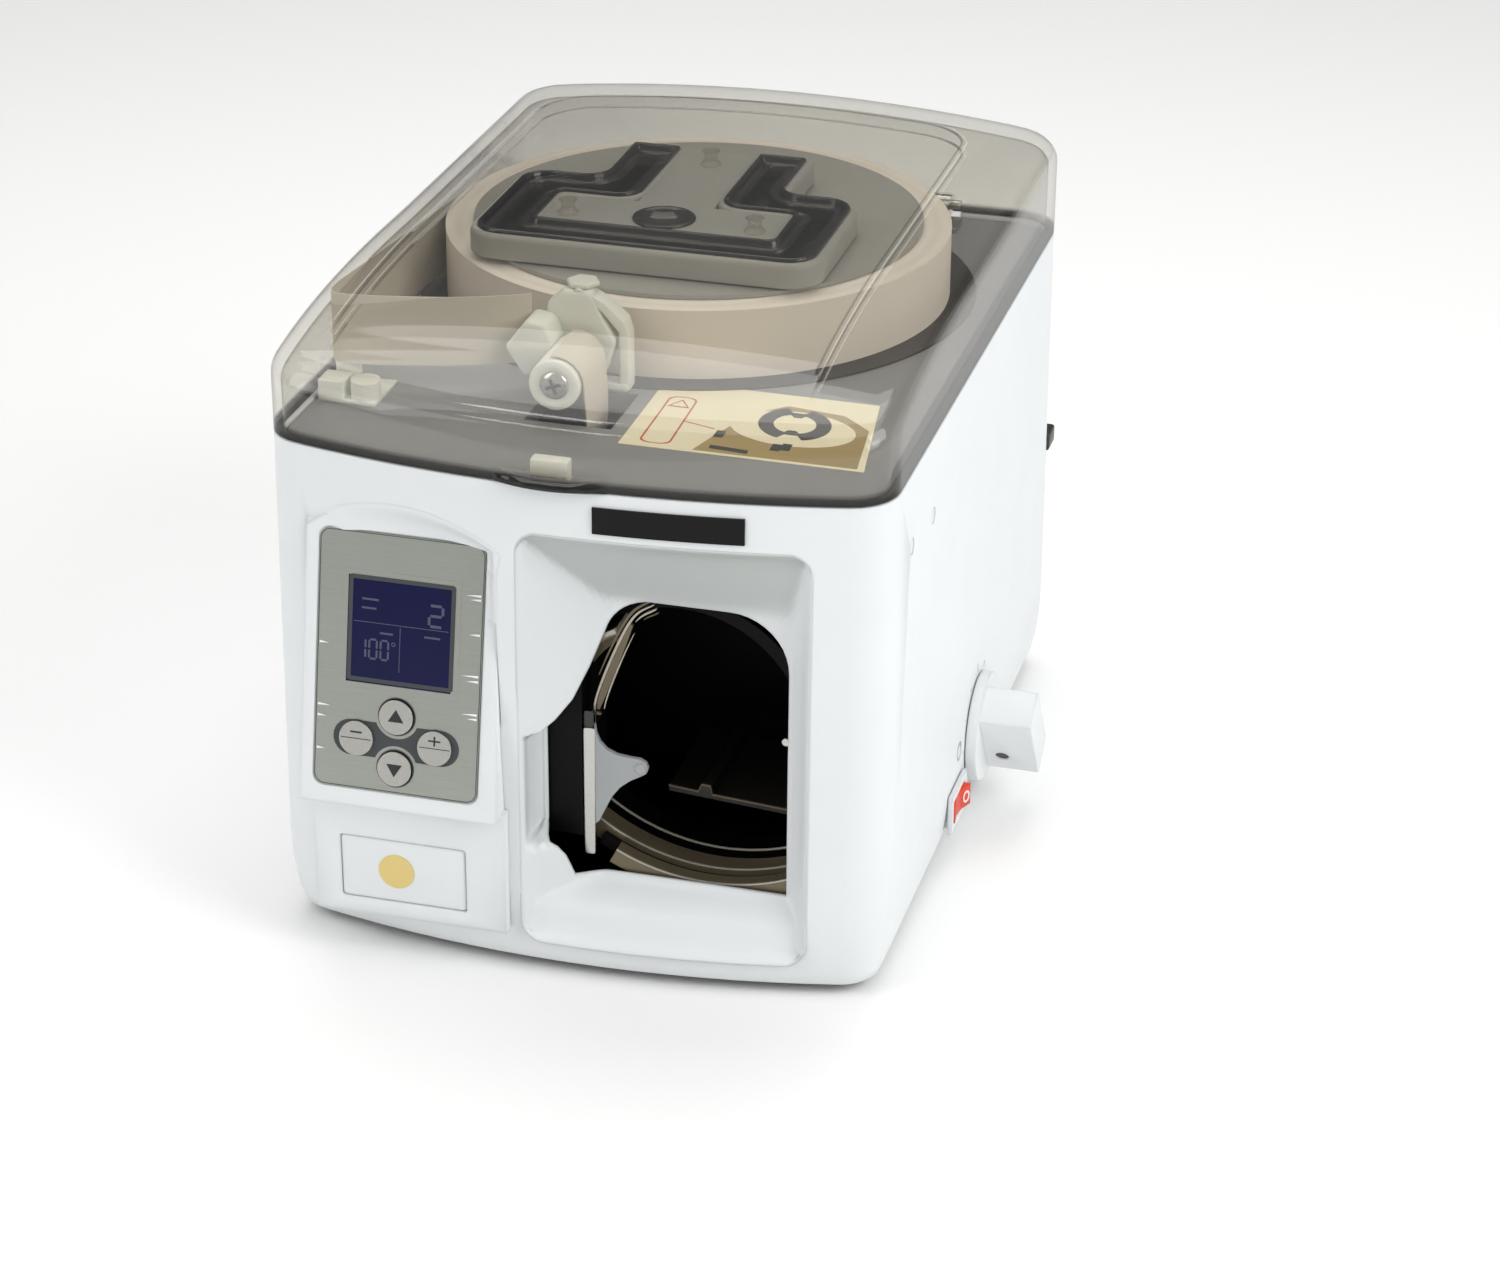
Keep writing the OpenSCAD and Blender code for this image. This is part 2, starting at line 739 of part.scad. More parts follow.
module guide_post_base() {
    color("white") place() {
        block(post_x - 4, post_x + 12, post_y - 13, post_y + 4, deck_z, deck_z + 1);
        block(post_x - 4, post_x + 3, post_y - 13, post_y - 5.4, deck_z, deck_z + 6);
        translate([post_x + 8, post_y - 9, deck_z]) cylinder(r = 4, h = 6, $fn = 48);
        translate([post_x, post_y, deck_z]) cylinder(r = 1.5, h = tape_w + 3, $fn = 32);
    }
}

module guide_bracket() {
    color("whitesmoke") place() difference() {
        union() {
            along_y(0, deck_z, roller_y1 + 0.4, roller_y1 + 2.6) polygon([
                [roller_x - 9, 0], [roller_x + 17, 0], [roller_x + 17, 13], [roller_x + 12, 17],
                [roller_x + 4, 22], [roller_x - 4, 22], [roller_x - 9, 15]]);
            block(roller_x - 9, roller_x + 17, roller_y1 + 0.4, roller_y1 + 6, deck_z, deck_z + 2);
        }
        along_y(roller_x, roller_z, roller_y1 - 1, roller_y1 + 5) circle(1.5, $fn = 32);
    }
}

module guide_block() {
    back = roller_y1 + 0.4;
    color("whitesmoke") place() difference() {
        union() {
            translate([roller_x - 15, back - 5.5, deck_z + 12]) rotate([0, 0, 45]) cube([8, 8, 11], center = true);
            along_y(roller_x + 1, roller_z + 10, back - 5, back) circle(3, $fn = 48);
            along_y(roller_x + 7.6, roller_z + 7.4, back - 5, back) circle(3, $fn = 48);
            along_y(roller_x, deck_z, back - 1.6, back) polygon([
                [-16, 8], [8, 8], [10, 16], [4, 21], [-4, 20], [-16, 16]]);
        }
        along_y(roller_x, roller_z, back - 2, back + 1) circle(1.7, $fn = 32);
    }
}

module guide_roller() {
    color("white") place() difference() {
        along_y(roller_x, roller_z, roller_y0, roller_y1 - 1.6) circle(roller_r, $fn = 64);
        along_y(roller_x, roller_z, roller_y0 - 1, roller_y1 + 1) circle(1.5 + run, $fn = 32);
        along_y(roller_x, roller_z, roller_y0 - 1, roller_y0 + 1.4) circle(4.2, $fn = 48);
    }
}

module roller_screw() {
    color("silver") place() difference() {
        union() {
            along_y(roller_x, roller_z, roller_y0 - 0.9, roller_y0 + 1.2) circle(3.5, $fn = 48);
            along_y(roller_x, roller_z, roller_y0, roller_y1 + 2.6) circle(1.5, $fn = 32);
        }
        for (a = [0, 90])
            along_y(roller_x, roller_z, roller_y0 - 1.5, roller_y0 + 0.3) rotate(a) square([4.4, 1], center = true);
    }
}

// the tape from the roll to the left post, across to the guide, and down to the feed rollers
module threaded_tape() {
    post_side = post_x - post_r - gap - tape_t;
    roll_side = reel_x - roll_r - 0.1 - tape_t;
    post_front = post_y - post_r - gap - tape_t;
    guide_y = post_front;
    color("linen") place() {
        translate([0, 0, roll_z + 1]) linear_extrude(tape_w) {
            polygon([[post_side, post_y], [post_side + tape_t, post_y],
                [roll_side + tape_t, reel_y], [roll_side, reel_y]]);
            polygon(concat(arc(post_x, post_y, post_r + gap + tape_t, 180, 270, 8),
                arc(post_x, post_y, post_r + gap, 270, 180, 8)));
            polygon([[post_x, post_front], [roller_x - 22, guide_y],
                [roller_x - 22, guide_y + tape_t], [post_x, post_front + tape_t]]);
        }
        block(drop_x - tape_t / 2, drop_x + tape_t / 2, roller_y0 + 1.5, roller_y0 + 1.5 + tape_w,
            feed_z - 8, roller_z);
    }
}

// ---- control panel ----

module on_panel() {
    translate([panel_x, panel_y, overlay_top]) rotate([-panel_tilt, 0, 0]) children();
}

// a flat piece on the sloping panel: u and v give its middle, n0 and n1 its depths outwards
module panel_plate(u, v, n0, n1) {
    on_panel() translate([u, -n0, v]) rotate([90, 0, 0]) linear_extrude(n1 - n0) children();
}

// outline of the island that carries the panel, with its arched top, grown by e
module bezel_outline(e) {
    mid = (bezel_x0 + bezel_x1) / 2;
    half = (bezel_x1 - bezel_x0) / 2;
    r = (half * half + bezel_arch * bezel_arch) / (2 * bezel_arch);
    intersection() {
        along_y(0, 0, -60, 20) polygon([
            [bezel_x0 - e, bezel_low], [bezel_x1 + e, bezel_low],
            [bezel_x1 - bezel_taper + e, overlay_top + bezel_arch + e],
            [bezel_x0 - e, overlay_top + bezel_arch + e]]);
        translate([mid, 20, overlay_top + bezel_arch - r]) rotate([90, 0, 0])
            cylinder(r = r + e, h = 90, $fn = 180);
    }
}

module panel_bezel() {
    color("whitesmoke") place() difference() {
        union() {
            intersection() {
                bezel_outline(0);
                panel_plate(0, -35, -bezel_t, 0) square([90, 140], center = true);
            }
            difference() {
                union() {
                    intersection() {
                        bezel_outline(0);
                        panel_plate(0, -35, -30, 0) square([90, 140], center = true);
                    }
                    block(bezel_x0 + 2, bezel_x1 + 1, lower_y, 10, lower_z, bezel_low + 1);
                }
                front_solid(-0.1);
            }
        }
        panel_plate(0, -overlay_h / 2, -overlay_t, 1) rounded(overlay_w + 2 * gap, overlay_h + 2 * gap, 3);
        panel_plate(0, display_v, -12, 1) square([display_w + 1, display_w + 1], center = true);
        key_places() circle(key_r + 0.8, $fn = 48);
        along_y(hatch_x, hatch_z, lower_y - 1, lower_y + 1.4) rounded(hatch_w, hatch_h, 1);
    }
}

module key_places() {
    for (k = [[0, key_dv], [0, -key_dv], [-key_du, 0], [key_du, 0]])
        panel_plate(k[0], key_v + k[1], -6, 1) children();
}

module control_overlay() {
    color("silver") place() difference() {
        panel_plate(0, -overlay_h / 2, -overlay_t, 0) rounded(overlay_w, overlay_h, 3);
        panel_plate(0, display_v, -12, 1) square([display_w + 0.6, display_w + 0.6], center = true);
        key_places() circle(key_r + gap, $fn = 48);
    }
}

module display() {
    color("midnightblue") place()
        panel_plate(0, display_v, -3, 0.1) square([display_w, display_w], center = true);
}

module key_cap(u, v) {
    color("lightgray") place() {
        panel_plate(u, v, -2, key_out) circle(key_r, $fn = 48);
        panel_plate(u, v, -2.8, -1.9) circle(key_r + 0.4, $fn = 48);
    }
}

module key_top() { key_cap(0, key_v + key_dv); }

module key_bottom() { key_cap(0, key_v - key_dv); }

module key_left() { key_cap(-key_du, key_v); }

module key_right() { key_cap(key_du, key_v); }

module control_board() {
    color("darkgreen") place()
        block(panel_x - 20, panel_x + 17, -1.5, 0.1, bezel_low, overlay_top - 6);
}

module hatch_cover() {
    color("whitesmoke") place()
        along_y(hatch_x, hatch_z, lower_y + 0.4, lower_y + 1.4) rounded(hatch_w - 2 * gap, hatch_h - 2 * gap, 1);
}

module hatch_disc() {
    color("khaki") place()
        along_y(hatch_x - 2, hatch_z, lower_y + 0.2, lower_y + 0.4) circle(5, $fn = 64);
}

module label_plate() {
    color("black") place() bowed_skin(-0.6, -0.01, label_x0, label_x0 + label_w, label_z, label_z + label_h);
}

// ---- front window ----

function window_points(e) = concat(
    [[win_x1 + e, win_z0 - e]],
    arc(win_x1 - win_r, win_z1 - win_r, win_r + e, 0, 90, 8),
    arc(win_x0 + 28, win_z1 - 12, 12 + e, 90, 160, 5),
    [[win_x0 + 13.5 - e, win_z0 + win_h * 0.81], [win_x0 + 7 - e, win_z0 + win_h * 0.57 + e / 2],
        [win_x0 - e, win_z0 + win_h * 0.52], [win_x0 - e, win_z0 + 12],
        [win_x0 + 5 - e, win_z0 + 9], [win_x0 + 8.5 - e, win_z0 - e]]);

// the recess round the opening, grown by e all round and by low at its foot
module recess_outline(e, low) {
    x0 = win_x0 - win_left - e;
    x1 = win_x1 + win_right + e;
    z0 = win_z0 - win_below - low;
    z1 = win_z1 + win_above + e;
    translate([(x0 + x1) / 2, (z0 + z1) / 2]) rounded(x1 - x0, z1 - z0, 6);
}

module window_frame() {
    skin = wall + draft + 0.1;
    color("whitesmoke") place() difference() {
        union() {
            intersection() {
                bowed_skin(skin, skin + frame_t, -big, big, 0, big);
                along_y(0, 0, -30, 30) recess_outline(4, -gap);
            }
            intersection() {
                bowed_skin(1.5, skin + 1, -big, big, 0, big);
                along_y(0, 0, -30, 30) difference() {
                    recess_outline(-gap, -gap);
                    recess_outline(-gap - 2, -gap - 2);
                }
            }
        }
        along_y(0, 0, -30, 30) polygon(window_points(0));
    }
}

module loop_sector(a0, a1, r) {
    polygon(concat([[0, 0]], arc(0, 0, r, a0, a1, 4)));
}

module loop_track() {
    color("dimgray") place() along_y(loop_x, loop_z, track_y0, track_y1) difference() {
        circle(loop_r + loop_t, $fn = 128);
        circle(loop_r, $fn = 128);
        loop_sector(loop_a0, loop_a1, 2 * loop_r);
    }
}

module bundle_chamber() {
    w = 2 * loop_r;
    color("dimgray") place() difference() {
        block(loop_x - loop_r - 3, loop_x + loop_r + 3, track_y1, chamber_y1, win_z0 - 4, win_z1 + 2);
        block(loop_x - loop_r, loop_x + loop_r, track_y1 - 1, chamber_y1 - 2, win_z0 - 1, win_z1 - 1);
    }
}

module seal_head() {
    color("dimgray") place() difference() {
        block(head_x0, head_x1, track_y0, track_y1, win_z0 + 9, loop_z + 19);
        for (y = [clamp_y, heater_y])
            block(head_x0 - 1, head_x1 + 1, y - gap, y + cam_t + gap, cam_z - bar_h / 2 - gap, cam_z + bar_h / 2 + gap);
    }
}

module stop_plate() {
    color("silver") place()
        block(head_x1, head_x1 + 1.5, track_y0, track_y1, win_z0 + 9, cam_z - bar_h / 2 - 4);
}

module tape_finger() {
    color("lightgray") place() translate([head_x1 + 1.5, track_y0 + 10, 0]) rotate([90, 0, 0])
        linear_extrude(10) polygon([[0, win_z0 + 15], [15, win_z0 + 27], [0, cam_z - bar_h / 2 - 4]]);
}

module slide_bar(y, nose) {
    color("silver") place() {
        block(cam_x + cam_r + gap, head_x1 + nose, y, y + cam_t, cam_z - bar_h / 2, cam_z + bar_h / 2);
    }
}

module clamp_bar() { slide_bar(clamp_y, 0.5); }

module heater_bar() { slide_bar(heater_y, 0); }

function cam_points() = [for (a = [0:6:354])
    let (g = a <= cam_turn + 30 ? cam_r + cam_rise * max(a, 0) / cam_turn : cam_r)
    [min(g, cam_r + cam_rise) * cos(a), min(g, cam_r + cam_rise) * sin(a)]];

module cam_shaft() {
    color("silver") place() {
        along_y(cam_x, cam_z, clamp_y, chassis_y + chassis_t + 8) circle(shaft_r, $fn = 32);
        for (y = [clamp_y, heater_y])
            along_y(cam_x, cam_z, y, y + cam_t) polygon(cam_points());
        along_y(cam_x, cam_z, chassis_y - home_t - 8, chassis_y - 8) difference() {
            circle(home_r, $fn = 96);
            translate([home_r - 3, -2]) square([5, 4]);
        }
    }
}

// ---- chassis and drive ----

module chassis() {
    color("silver") place() difference() {
        union() {
            block(-inner_w / 2 + 8, inner_w / 2 - 8, chassis_y, chassis_y + chassis_t, floor_z, deck_under);
            block(-inner_w / 2 + 8, inner_w / 2 - 8, chassis_y, chassis_y + 26, floor_z, floor_z + chassis_t);
        }
        along_y(cam_x, cam_z, chassis_y - 1, chassis_y + 5) circle(shaft_r + run, $fn = 32);
        along_y(feed_x, feed_z, chassis_y - 1, chassis_y + 5) circle(shaft_r + run, $fn = 32);
    }
}

module feed_bracket() {
    y0 = roller_y0 - 3;
    y1 = roller_y1 + 1;
    color("silver") place() difference() {
        union() {
            for (y = [y0 - cheek_t, y1])
                block(pinch_x - 8, feed_x + 8, y, y + cheek_t, feed_z - 7, deck_under);
            block(feed_x + 6, feed_x + 8, y0 - cheek_t, y1 + cheek_t, deck_under - 6, deck_under);
        }
        for (x = [feed_x, pinch_x])
            along_y(x, feed_z, y0 - 10, y1 + 10) circle(shaft_r + run, $fn = 32);
    }
}

module drive_roller() {
    color("black") place() {
        along_y(feed_x, feed_z, roller_y0 - 2, roller_y1) circle(feed_r, $fn = 64);
        along_y(feed_x, feed_z, roller_y0 - 5.5, chassis_y + chassis_t + 8) circle(shaft_r, $fn = 32);
    }
}

module pinch_roller() {
    color("black") place() {
        along_y(pinch_x, feed_z, roller_y0 - 2, roller_y1) circle(feed_r, $fn = 64);
        along_y(pinch_x, feed_z, roller_y0 - 5.5, roller_y1 + 4.5) circle(shaft_r, $fn = 32);
    }
}

module motor(x, z, r, len) {
    color("dimgray") place() difference() {
        along_y(x, z, chassis_y + chassis_t, chassis_y + chassis_t + len) circle(r, $fn = 96);
        along_y(x, z, chassis_y, chassis_y + chassis_t + 9) circle(shaft_r + run, $fn = 32);
    }
}

module feed_motor() { motor(feed_x, feed_z, feed_motor_r, feed_motor_l); }

module cam_motor() { motor(cam_x, cam_z, cam_motor_r, cam_motor_l); }

// ---- side controls ----

module side_screw_places() {
    translate([0, 50, body_h - 23]) children();
    translate([0, 25, body_h - 21]) children();
}

module side_screws() {
    color("lightgray") place() side_screw_places() {
        along_x(side_x - 7, side_x - 1, 0, 0) circle(2.1, $fn = 32);
    }
}

module adjust_knob() {
    x0 = side_x + gap;
    color("lightgray") place() difference() {
        union() {
            along_x(x0, x0 + 3, knob_y, knob_z) circle(knob_r, $fn = 96);
            intersection() {
                along_x(x0 + 3, x0 + 3 + knob_out, knob_y, knob_z) circle(knob_r - 1.5, $fn = 96);
                translate([x0, knob_y, knob_z]) rotate([grip_turn, 0, 0])
                    block(0, 30, -grip_t / 2, grip_t / 2, -30, 30);
            }
        }
        along_x(x0 - 1, x0 + knob_hub, knob_y, knob_z) circle(shaft_r, $fn = 32);
        translate([x0 + 8, knob_y, knob_z]) rotate([grip_turn, 0, 0]) translate([0, -8, -6])
            rotate([-90, 0, 0]) cylinder(r = 2, h = 4.5, $fn = 32);
    }
}

module knob_screw() {
    x0 = side_x + gap;
    color("black") place() translate([x0 + 8, knob_y, knob_z]) rotate([grip_turn, 0, 0])
        translate([0, -5.6, -6]) rotate([-90, 0, 0]) cylinder(r = 2, h = 2, $fn = 32);
}

module knob_shaft() {
    color("silver") place()
        along_x(side_x - 20, side_x + gap + knob_hub, knob_y, knob_z) circle(shaft_r, $fn = 32);
}

// the switch's frame: a box through the wall with a rim outside and an open window
module rocker_body() {
    hl = rocker_l / 2;
    hw = rocker_w / 2;
    color("black") place() translate([0, rocker_y, rocker_z]) difference() {
        union() {
            block(side_x - 16, side_x + 0.2, -hl + 1.4, hl - 1.4, -hw + 1.4, hw - 1.4);
            block(side_x + 0.1, side_x + rocker_lip, -hl, hl, -hw, hw);
        }
        block(side_x - 9, side_x + 5, -hl + rocker_rim, hl - rocker_rim,
            -hw + rocker_rim, hw - rocker_rim);
        translate([pivot_x, 0, -hw + 1.6]) cylinder(r = rocker_pin + run, h = rocker_w - 3.2, $fn = 32);
    }
}

// plan of the rocker about its pivot: a shallow V that stands out at both ends
function rocker_points(h) = [[-4, -h * 0.45], [-2.6, -h], [4.6, -h], [3.4, -h * 0.3],
    [3.4, h * 0.3], [4.6, h], [-2.6, h], [-4, h * 0.45]];

module power_rocker() {
    h = rocker_l / 2 - rocker_rim - 0.5;
    hw = rocker_w / 2 - rocker_rim - gap;
    color("red") place() translate([pivot_x, rocker_y, rocker_z]) rotate([0, 0, -rocker_tilt / 2]) {
        translate([0, 0, -hw]) linear_extrude(2 * hw) polygon(rocker_points(h));
        translate([0, 0, -hw - 1]) cylinder(r = rocker_pin, h = 2 * hw + 2, $fn = 32);
    }
}

module power_inlet() {
    color("black") place() difference() {
        union() {
            along_y(-34, 36, body_d - 24, body_d - 0.6) square([27, 20], center = true);
        }
        along_y(-34, 36, body_d - 14, body_d + 3) square([22, 15], center = true);
    }
}

housing();
base_plate();
rear_cover();
feet();
base_screws();
deck();
lid();
lid_catch();
hinge_brackets();
hinge_pins();
roll_holder();
holder_channel();
holder_dome();
spindle();
turntable();
tape_core();
tape_roll();
reel_flange();
guide_post();
guide_post_base();
guide_bracket();
guide_block();
guide_roller();
roller_screw();
threaded_tape();
panel_bezel();
control_overlay();
display();
key_top();
key_bottom();
key_left();
key_right();
control_board();
hatch_cover();
hatch_disc();
label_plate();
window_frame();
loop_track();
bundle_chamber();
seal_head();
stop_plate();
tape_finger();
clamp_bar();
heater_bar();
cam_shaft();
chassis();
feed_bracket();
drive_roller();
pinch_roller();
feed_motor();
cam_motor();
adjust_knob();
knob_screw();
knob_shaft();
rocker_body();
power_rocker();
power_inlet();
side_screws();
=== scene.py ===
"""Looks of the banknote strapping machine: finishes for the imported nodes, and pieces of finer form."""

import json
from math import acos, asin, atan2, cos, degrees, exp, hypot, log, pi, radians, sin, sqrt, tan

import bmesh
import bpy
from mathutils import Matrix, Vector


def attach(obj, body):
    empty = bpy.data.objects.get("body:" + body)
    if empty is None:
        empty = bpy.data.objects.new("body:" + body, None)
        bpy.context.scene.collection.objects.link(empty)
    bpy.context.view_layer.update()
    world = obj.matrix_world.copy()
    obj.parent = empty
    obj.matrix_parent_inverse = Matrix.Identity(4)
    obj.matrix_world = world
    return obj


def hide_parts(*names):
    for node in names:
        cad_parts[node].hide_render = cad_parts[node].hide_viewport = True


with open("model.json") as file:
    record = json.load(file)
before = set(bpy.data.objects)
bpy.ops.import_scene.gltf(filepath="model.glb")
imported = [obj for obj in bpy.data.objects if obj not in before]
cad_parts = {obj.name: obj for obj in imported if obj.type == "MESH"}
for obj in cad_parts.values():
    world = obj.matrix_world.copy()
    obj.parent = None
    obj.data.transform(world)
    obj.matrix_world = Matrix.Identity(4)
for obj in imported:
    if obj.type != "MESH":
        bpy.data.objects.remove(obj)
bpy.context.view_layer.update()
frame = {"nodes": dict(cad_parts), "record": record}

# The machine is measured in millimetres from the middle of its front corners;
# the model stands with its box centred over the origin, in metres.
SHIFT = Vector((-9.15, -101.677, 0.0))

# Places that more than one piece keeps to, in those millimetres.
ROLL_AXIS = (-6, 140)  # x and y
GUIDE_AXIS = (-15, 153)  # x and z of the guide roller
TRACK_AXIS = (25.0, 68.25)  # x and z
KNOB_AXIS = (114, 27)  # y and z
DECK_TOP = 143.0


def place(x, y, z):
    """A point of the machine, in millimetres, as a point of the model, in metres."""
    return (Vector((x, y, z)) + SHIFT) / 1000


def shown(name, data):
    """A new object in the scene."""
    made = bpy.data.objects.new(name, data)
    bpy.context.scene.collection.objects.link(made)
    return made


# ---------------- materials


def colour(code):
    """A linear RGBA colour from sRGB hex."""
    parts = [int(code[i : i + 2], 16) / 255 for i in (0, 2, 4)]
    return [c / 12.92 if c <= 0.04045 else ((c + 0.055) / 1.055) ** 2.4 for c in parts] + [1.0]


def per_mm(size):
    """The texture scale that gives features of this size in millimetres."""
    return 1000 / size


def add(at, kind, inputs=None, **settings):
    """Adds a node to a tree, or to a socket's tree, with its settings, and fills or links its inputs."""
    tree = at.id_data
    made = tree.nodes.new(kind)
    for key, value in settings.items():
        setattr(made, key, value)
    for key, value in (inputs or {}).items():
        if isinstance(value, bpy.types.NodeSocket):
            tree.links.new(value, made.inputs[key])
        else:
            made.inputs[key].default_value = value
    return made


def start(name):
    """A new material and the object coordinates in its tree."""
    material = bpy.data.materials.new(name)
    material.use_nodes = True
    tree = material.node_tree
    tree.nodes.clear()
    return material, add(tree, "ShaderNodeTexCoord").outputs["Object"]


def covered(material, shader):
    """The material, with this shader on its surface."""
    add(material.node_tree, "ShaderNodeOutputMaterial", {"Surface": shader.outputs[0]})
    return material


def coat(material, inputs):
    """The material, with a principled shader on its surface."""
    return covered(material, add(material.node_tree, "ShaderNodeBsdfPrincipled", inputs))


def span(value, start_at, end_at, low=0.0, high=1.0, smooth=False):
    """Maps the range from start_at to end_at to the range low..high."""
    limits = {"Value": value, "From Min": start_at, "From Max": end_at, "To Min": low, "To Max": high}
    kind = "SMOOTHSTEP" if smooth else "LINEAR"
    return add(value, "ShaderNodeMapRange", limits, interpolation_type=kind).outputs["Result"]


def ramp(fac, low, high):
    """Maps 0..1 to the range low..high."""
    return span(fac, 0.0, 1.0, low, high)


def maths(operation, a, b=0.0, c=0.0):
    """One step of arithmetic on sockets or numbers."""
    at = next(v for v in (a, b, c) if isinstance(v, bpy.types.NodeSocket))
    return add(at, "ShaderNodeMath", {0: a, 1: b, 2: c}, operation=operation).outputs[0]


def split(vector):
    """The three parts of a vector."""
    return add(vector, "ShaderNodeSeparateXYZ", {"Vector": vector}).outputs


def moved(where, **change):
    """Coordinates with another location or scale."""
    return add(where, "ShaderNodeMapping", {"Vector": where, **change}).outputs["Vector"]


def about(where, x, y):
    """Coordinates measured from an upright axis of the machine."""
    centre = place(x, y, 0)
    return moved(where, Location=(-centre.x, -centre.y, 0))


def noise(where, size, detail=2.0, stretch=None, rough=0.5):
    """Noise with features of this size in millimetres, drawn out along an axis if stretch says so."""
    if stretch:
        where = moved(where, Scale=stretch)
    inputs = {"Vector": where, "Scale": per_mm(size), "Detail": detail, "Roughness": rough}
    return add(where, "ShaderNodeTexNoise", inputs).outputs["Fac"]


def mix(fac, a, b):
    """A colour between two, each a hex code or a socket."""
    a, b = (colour(c) if isinstance(c, str) else c for c in (a, b))
    return add(fac, "ShaderNodeMix", {"Factor": fac, 6: a, 7: b}, data_type="RGBA").outputs[2]


def relief(height, depth, strength, **over):
    """The normal of a surface with a relief this many millimetres deep."""
    inputs = {"Height": height, "Distance": depth / 1000, "Strength": strength, **over}
    return add(height, "ShaderNodeBump", inputs).outputs["Normal"]


def soft_edges(where, radius):
    """The normal of a surface whose edges are rounded over this many millimetres."""
    return add(where, "ShaderNodeBevel", {"Radius": radius / 1000}, samples=4).outputs["Normal"]


def moulded(name, light, dark, roughness, grain, depth, edge=0.0, under=None, specular=0.5, **sockets):
    """Moulded plastic: faintly cloudy, with a grain, rounded edges and, if asked, painted shade on faces
    that look down.
    """
    material, where = start(name)
    tone = mix(ramp(noise(where, 30, 3), 0.1, 0.75), light, dark)
    # painted shade: the base colour turns towards the under colour on faces that look down
    if under:
        facing = split(add(where, "ShaderNodeNewGeometry").outputs["Normal"])["Z"]
        tone = mix(span(facing, 0.16, -0.34, smooth=True), tone, under)
    over = {"Normal": soft_edges(where, edge)} if edge else {}
    return coat(material, {
        "Base Color": tone,
        "Roughness": ramp(noise(where, 6, 4), roughness - 0.07, roughness + 0.09),
        "Normal": relief(noise(where, grain, 2), depth, 0.35, **over),
        "Specular IOR Level": specular,
        "IOR": 1.5,
        **sockets,
    })


def metal(name, light, dark, roughness, stretch, line=0.5, depth=0.01, edge=0.4):
    """A bare metal whose fine lines run along the axis that stretch draws out."""
    material, where = start(name)
    lines = noise(where, line, 4, stretch, 0.65)
    stain = ramp(noise(where, 14, 3), 0.0, 0.35)
    return coat(material, {
        "Base Color": mix(stain, mix(lines, light, dark), dark),
        "Metallic": 1.0,
        "Roughness": ramp(lines, roughness - 0.06, roughness + 0.1),
        "Normal": relief(lines, depth, 0.5, Normal=soft_edges(where, edge)),
    })


def smoky_acrylic():
    """Thin acrylic dyed smoke grey-brown: it tints what is behind it, more so at a slant, and mirrors; a
    line of painted shade and a line of painted highlight mark the step round its top, and painted shade
    darkens its foot.
    """
    material, where = start("smoky acrylic, polished")
    ripple = noise(where, 45, 1)
    step, dark, bright = lid_groove(where)
    bumps = relief(step, 0.9, 1.0, Normal=relief(ripple, 0.4, 0.08))
    slant = add(where, "ShaderNodeLayerWeight", {"Blend": 0.5}).outputs["Facing"]
    tint = mix(ramp(maths("POWER", slant, 6.0), 0.0, 0.95), "F6F5F2", "8A857F")
    # painted shade: the tint darkens along a line on the step of the raised top
    tint = mix(ramp(dark, 0.0, 0.45), tint, "4A423C")
    # painted shade: the see-through colour darkens along the lid's foot
    foot_shade = span(split(where)["Z"], *FOOT_SHADE_HEIGHTS, 0.85, 0.0)
    clear = add(where, "ShaderNodeBsdfTransparent", {"Color": mix(foot_shade, tint, "2E2A27")})
    shine = {"Color": colour("FFFFFF"), "Roughness": ramp(ripple, 0.02, 0.06), "Normal": bumps}
    gloss = add(where, "ShaderNodeBsdfGlossy", shine)
    bent = add(where, "ShaderNodeLayerWeight", {"Blend": 0.5, "Normal": bumps}).outputs["Facing"]
    mirror = maths("MULTIPLY_ADD", maths("POWER", bent, 5.0), 0.7, 0.035)
    shadow = add(where, "ShaderNodeLightPath").outputs["Is Shadow Ray"]
    mirror = maths("MULTIPLY", mirror, maths("SUBTRACT", 1.0, shadow))
    skin = add(where, "ShaderNodeMixShader", {0: mirror, 1: clear.outputs[0], 2: gloss.outputs[0]})
    # painted highlight: a pale matt line laid beside that step
    edge = add(where, "ShaderNodeBsdfDiffuse", {"Color": colour("E8E4DE")})
    lines = {0: ramp(bright, 0.0, 0.35), 1: skin.outputs[0], 2: edge.outputs[0]}
    return covered(material, add(where, "ShaderNodeMixShader", lines))


# The lid's raised top: its middle in millimetres; then, in metres from there, where its straight sides
# and back end, where the step fades out to the front, and how far out the step, its line of painted shade
# and its line of painted highlight lie.
TOP_AXIS = (-5.5, 98)
TOP_SIDE, TOP_BACK, TOP_FADE = 0.0505, 0.0915, (-0.086, -0.07)
STEP, PAINTED_SHADE_LINE, PAINTED_HIGHLIGHT_LINE = (0.0132, 0.0152), (0.0134, 0.0144), (0.0148, 0.0156)
# painted shade along the lid's foot, where it meets the housing
FOOT_SHADE_HEIGHTS = (0.1452, 0.1466)  # heights, in metres, between which the dark lower rim fades out


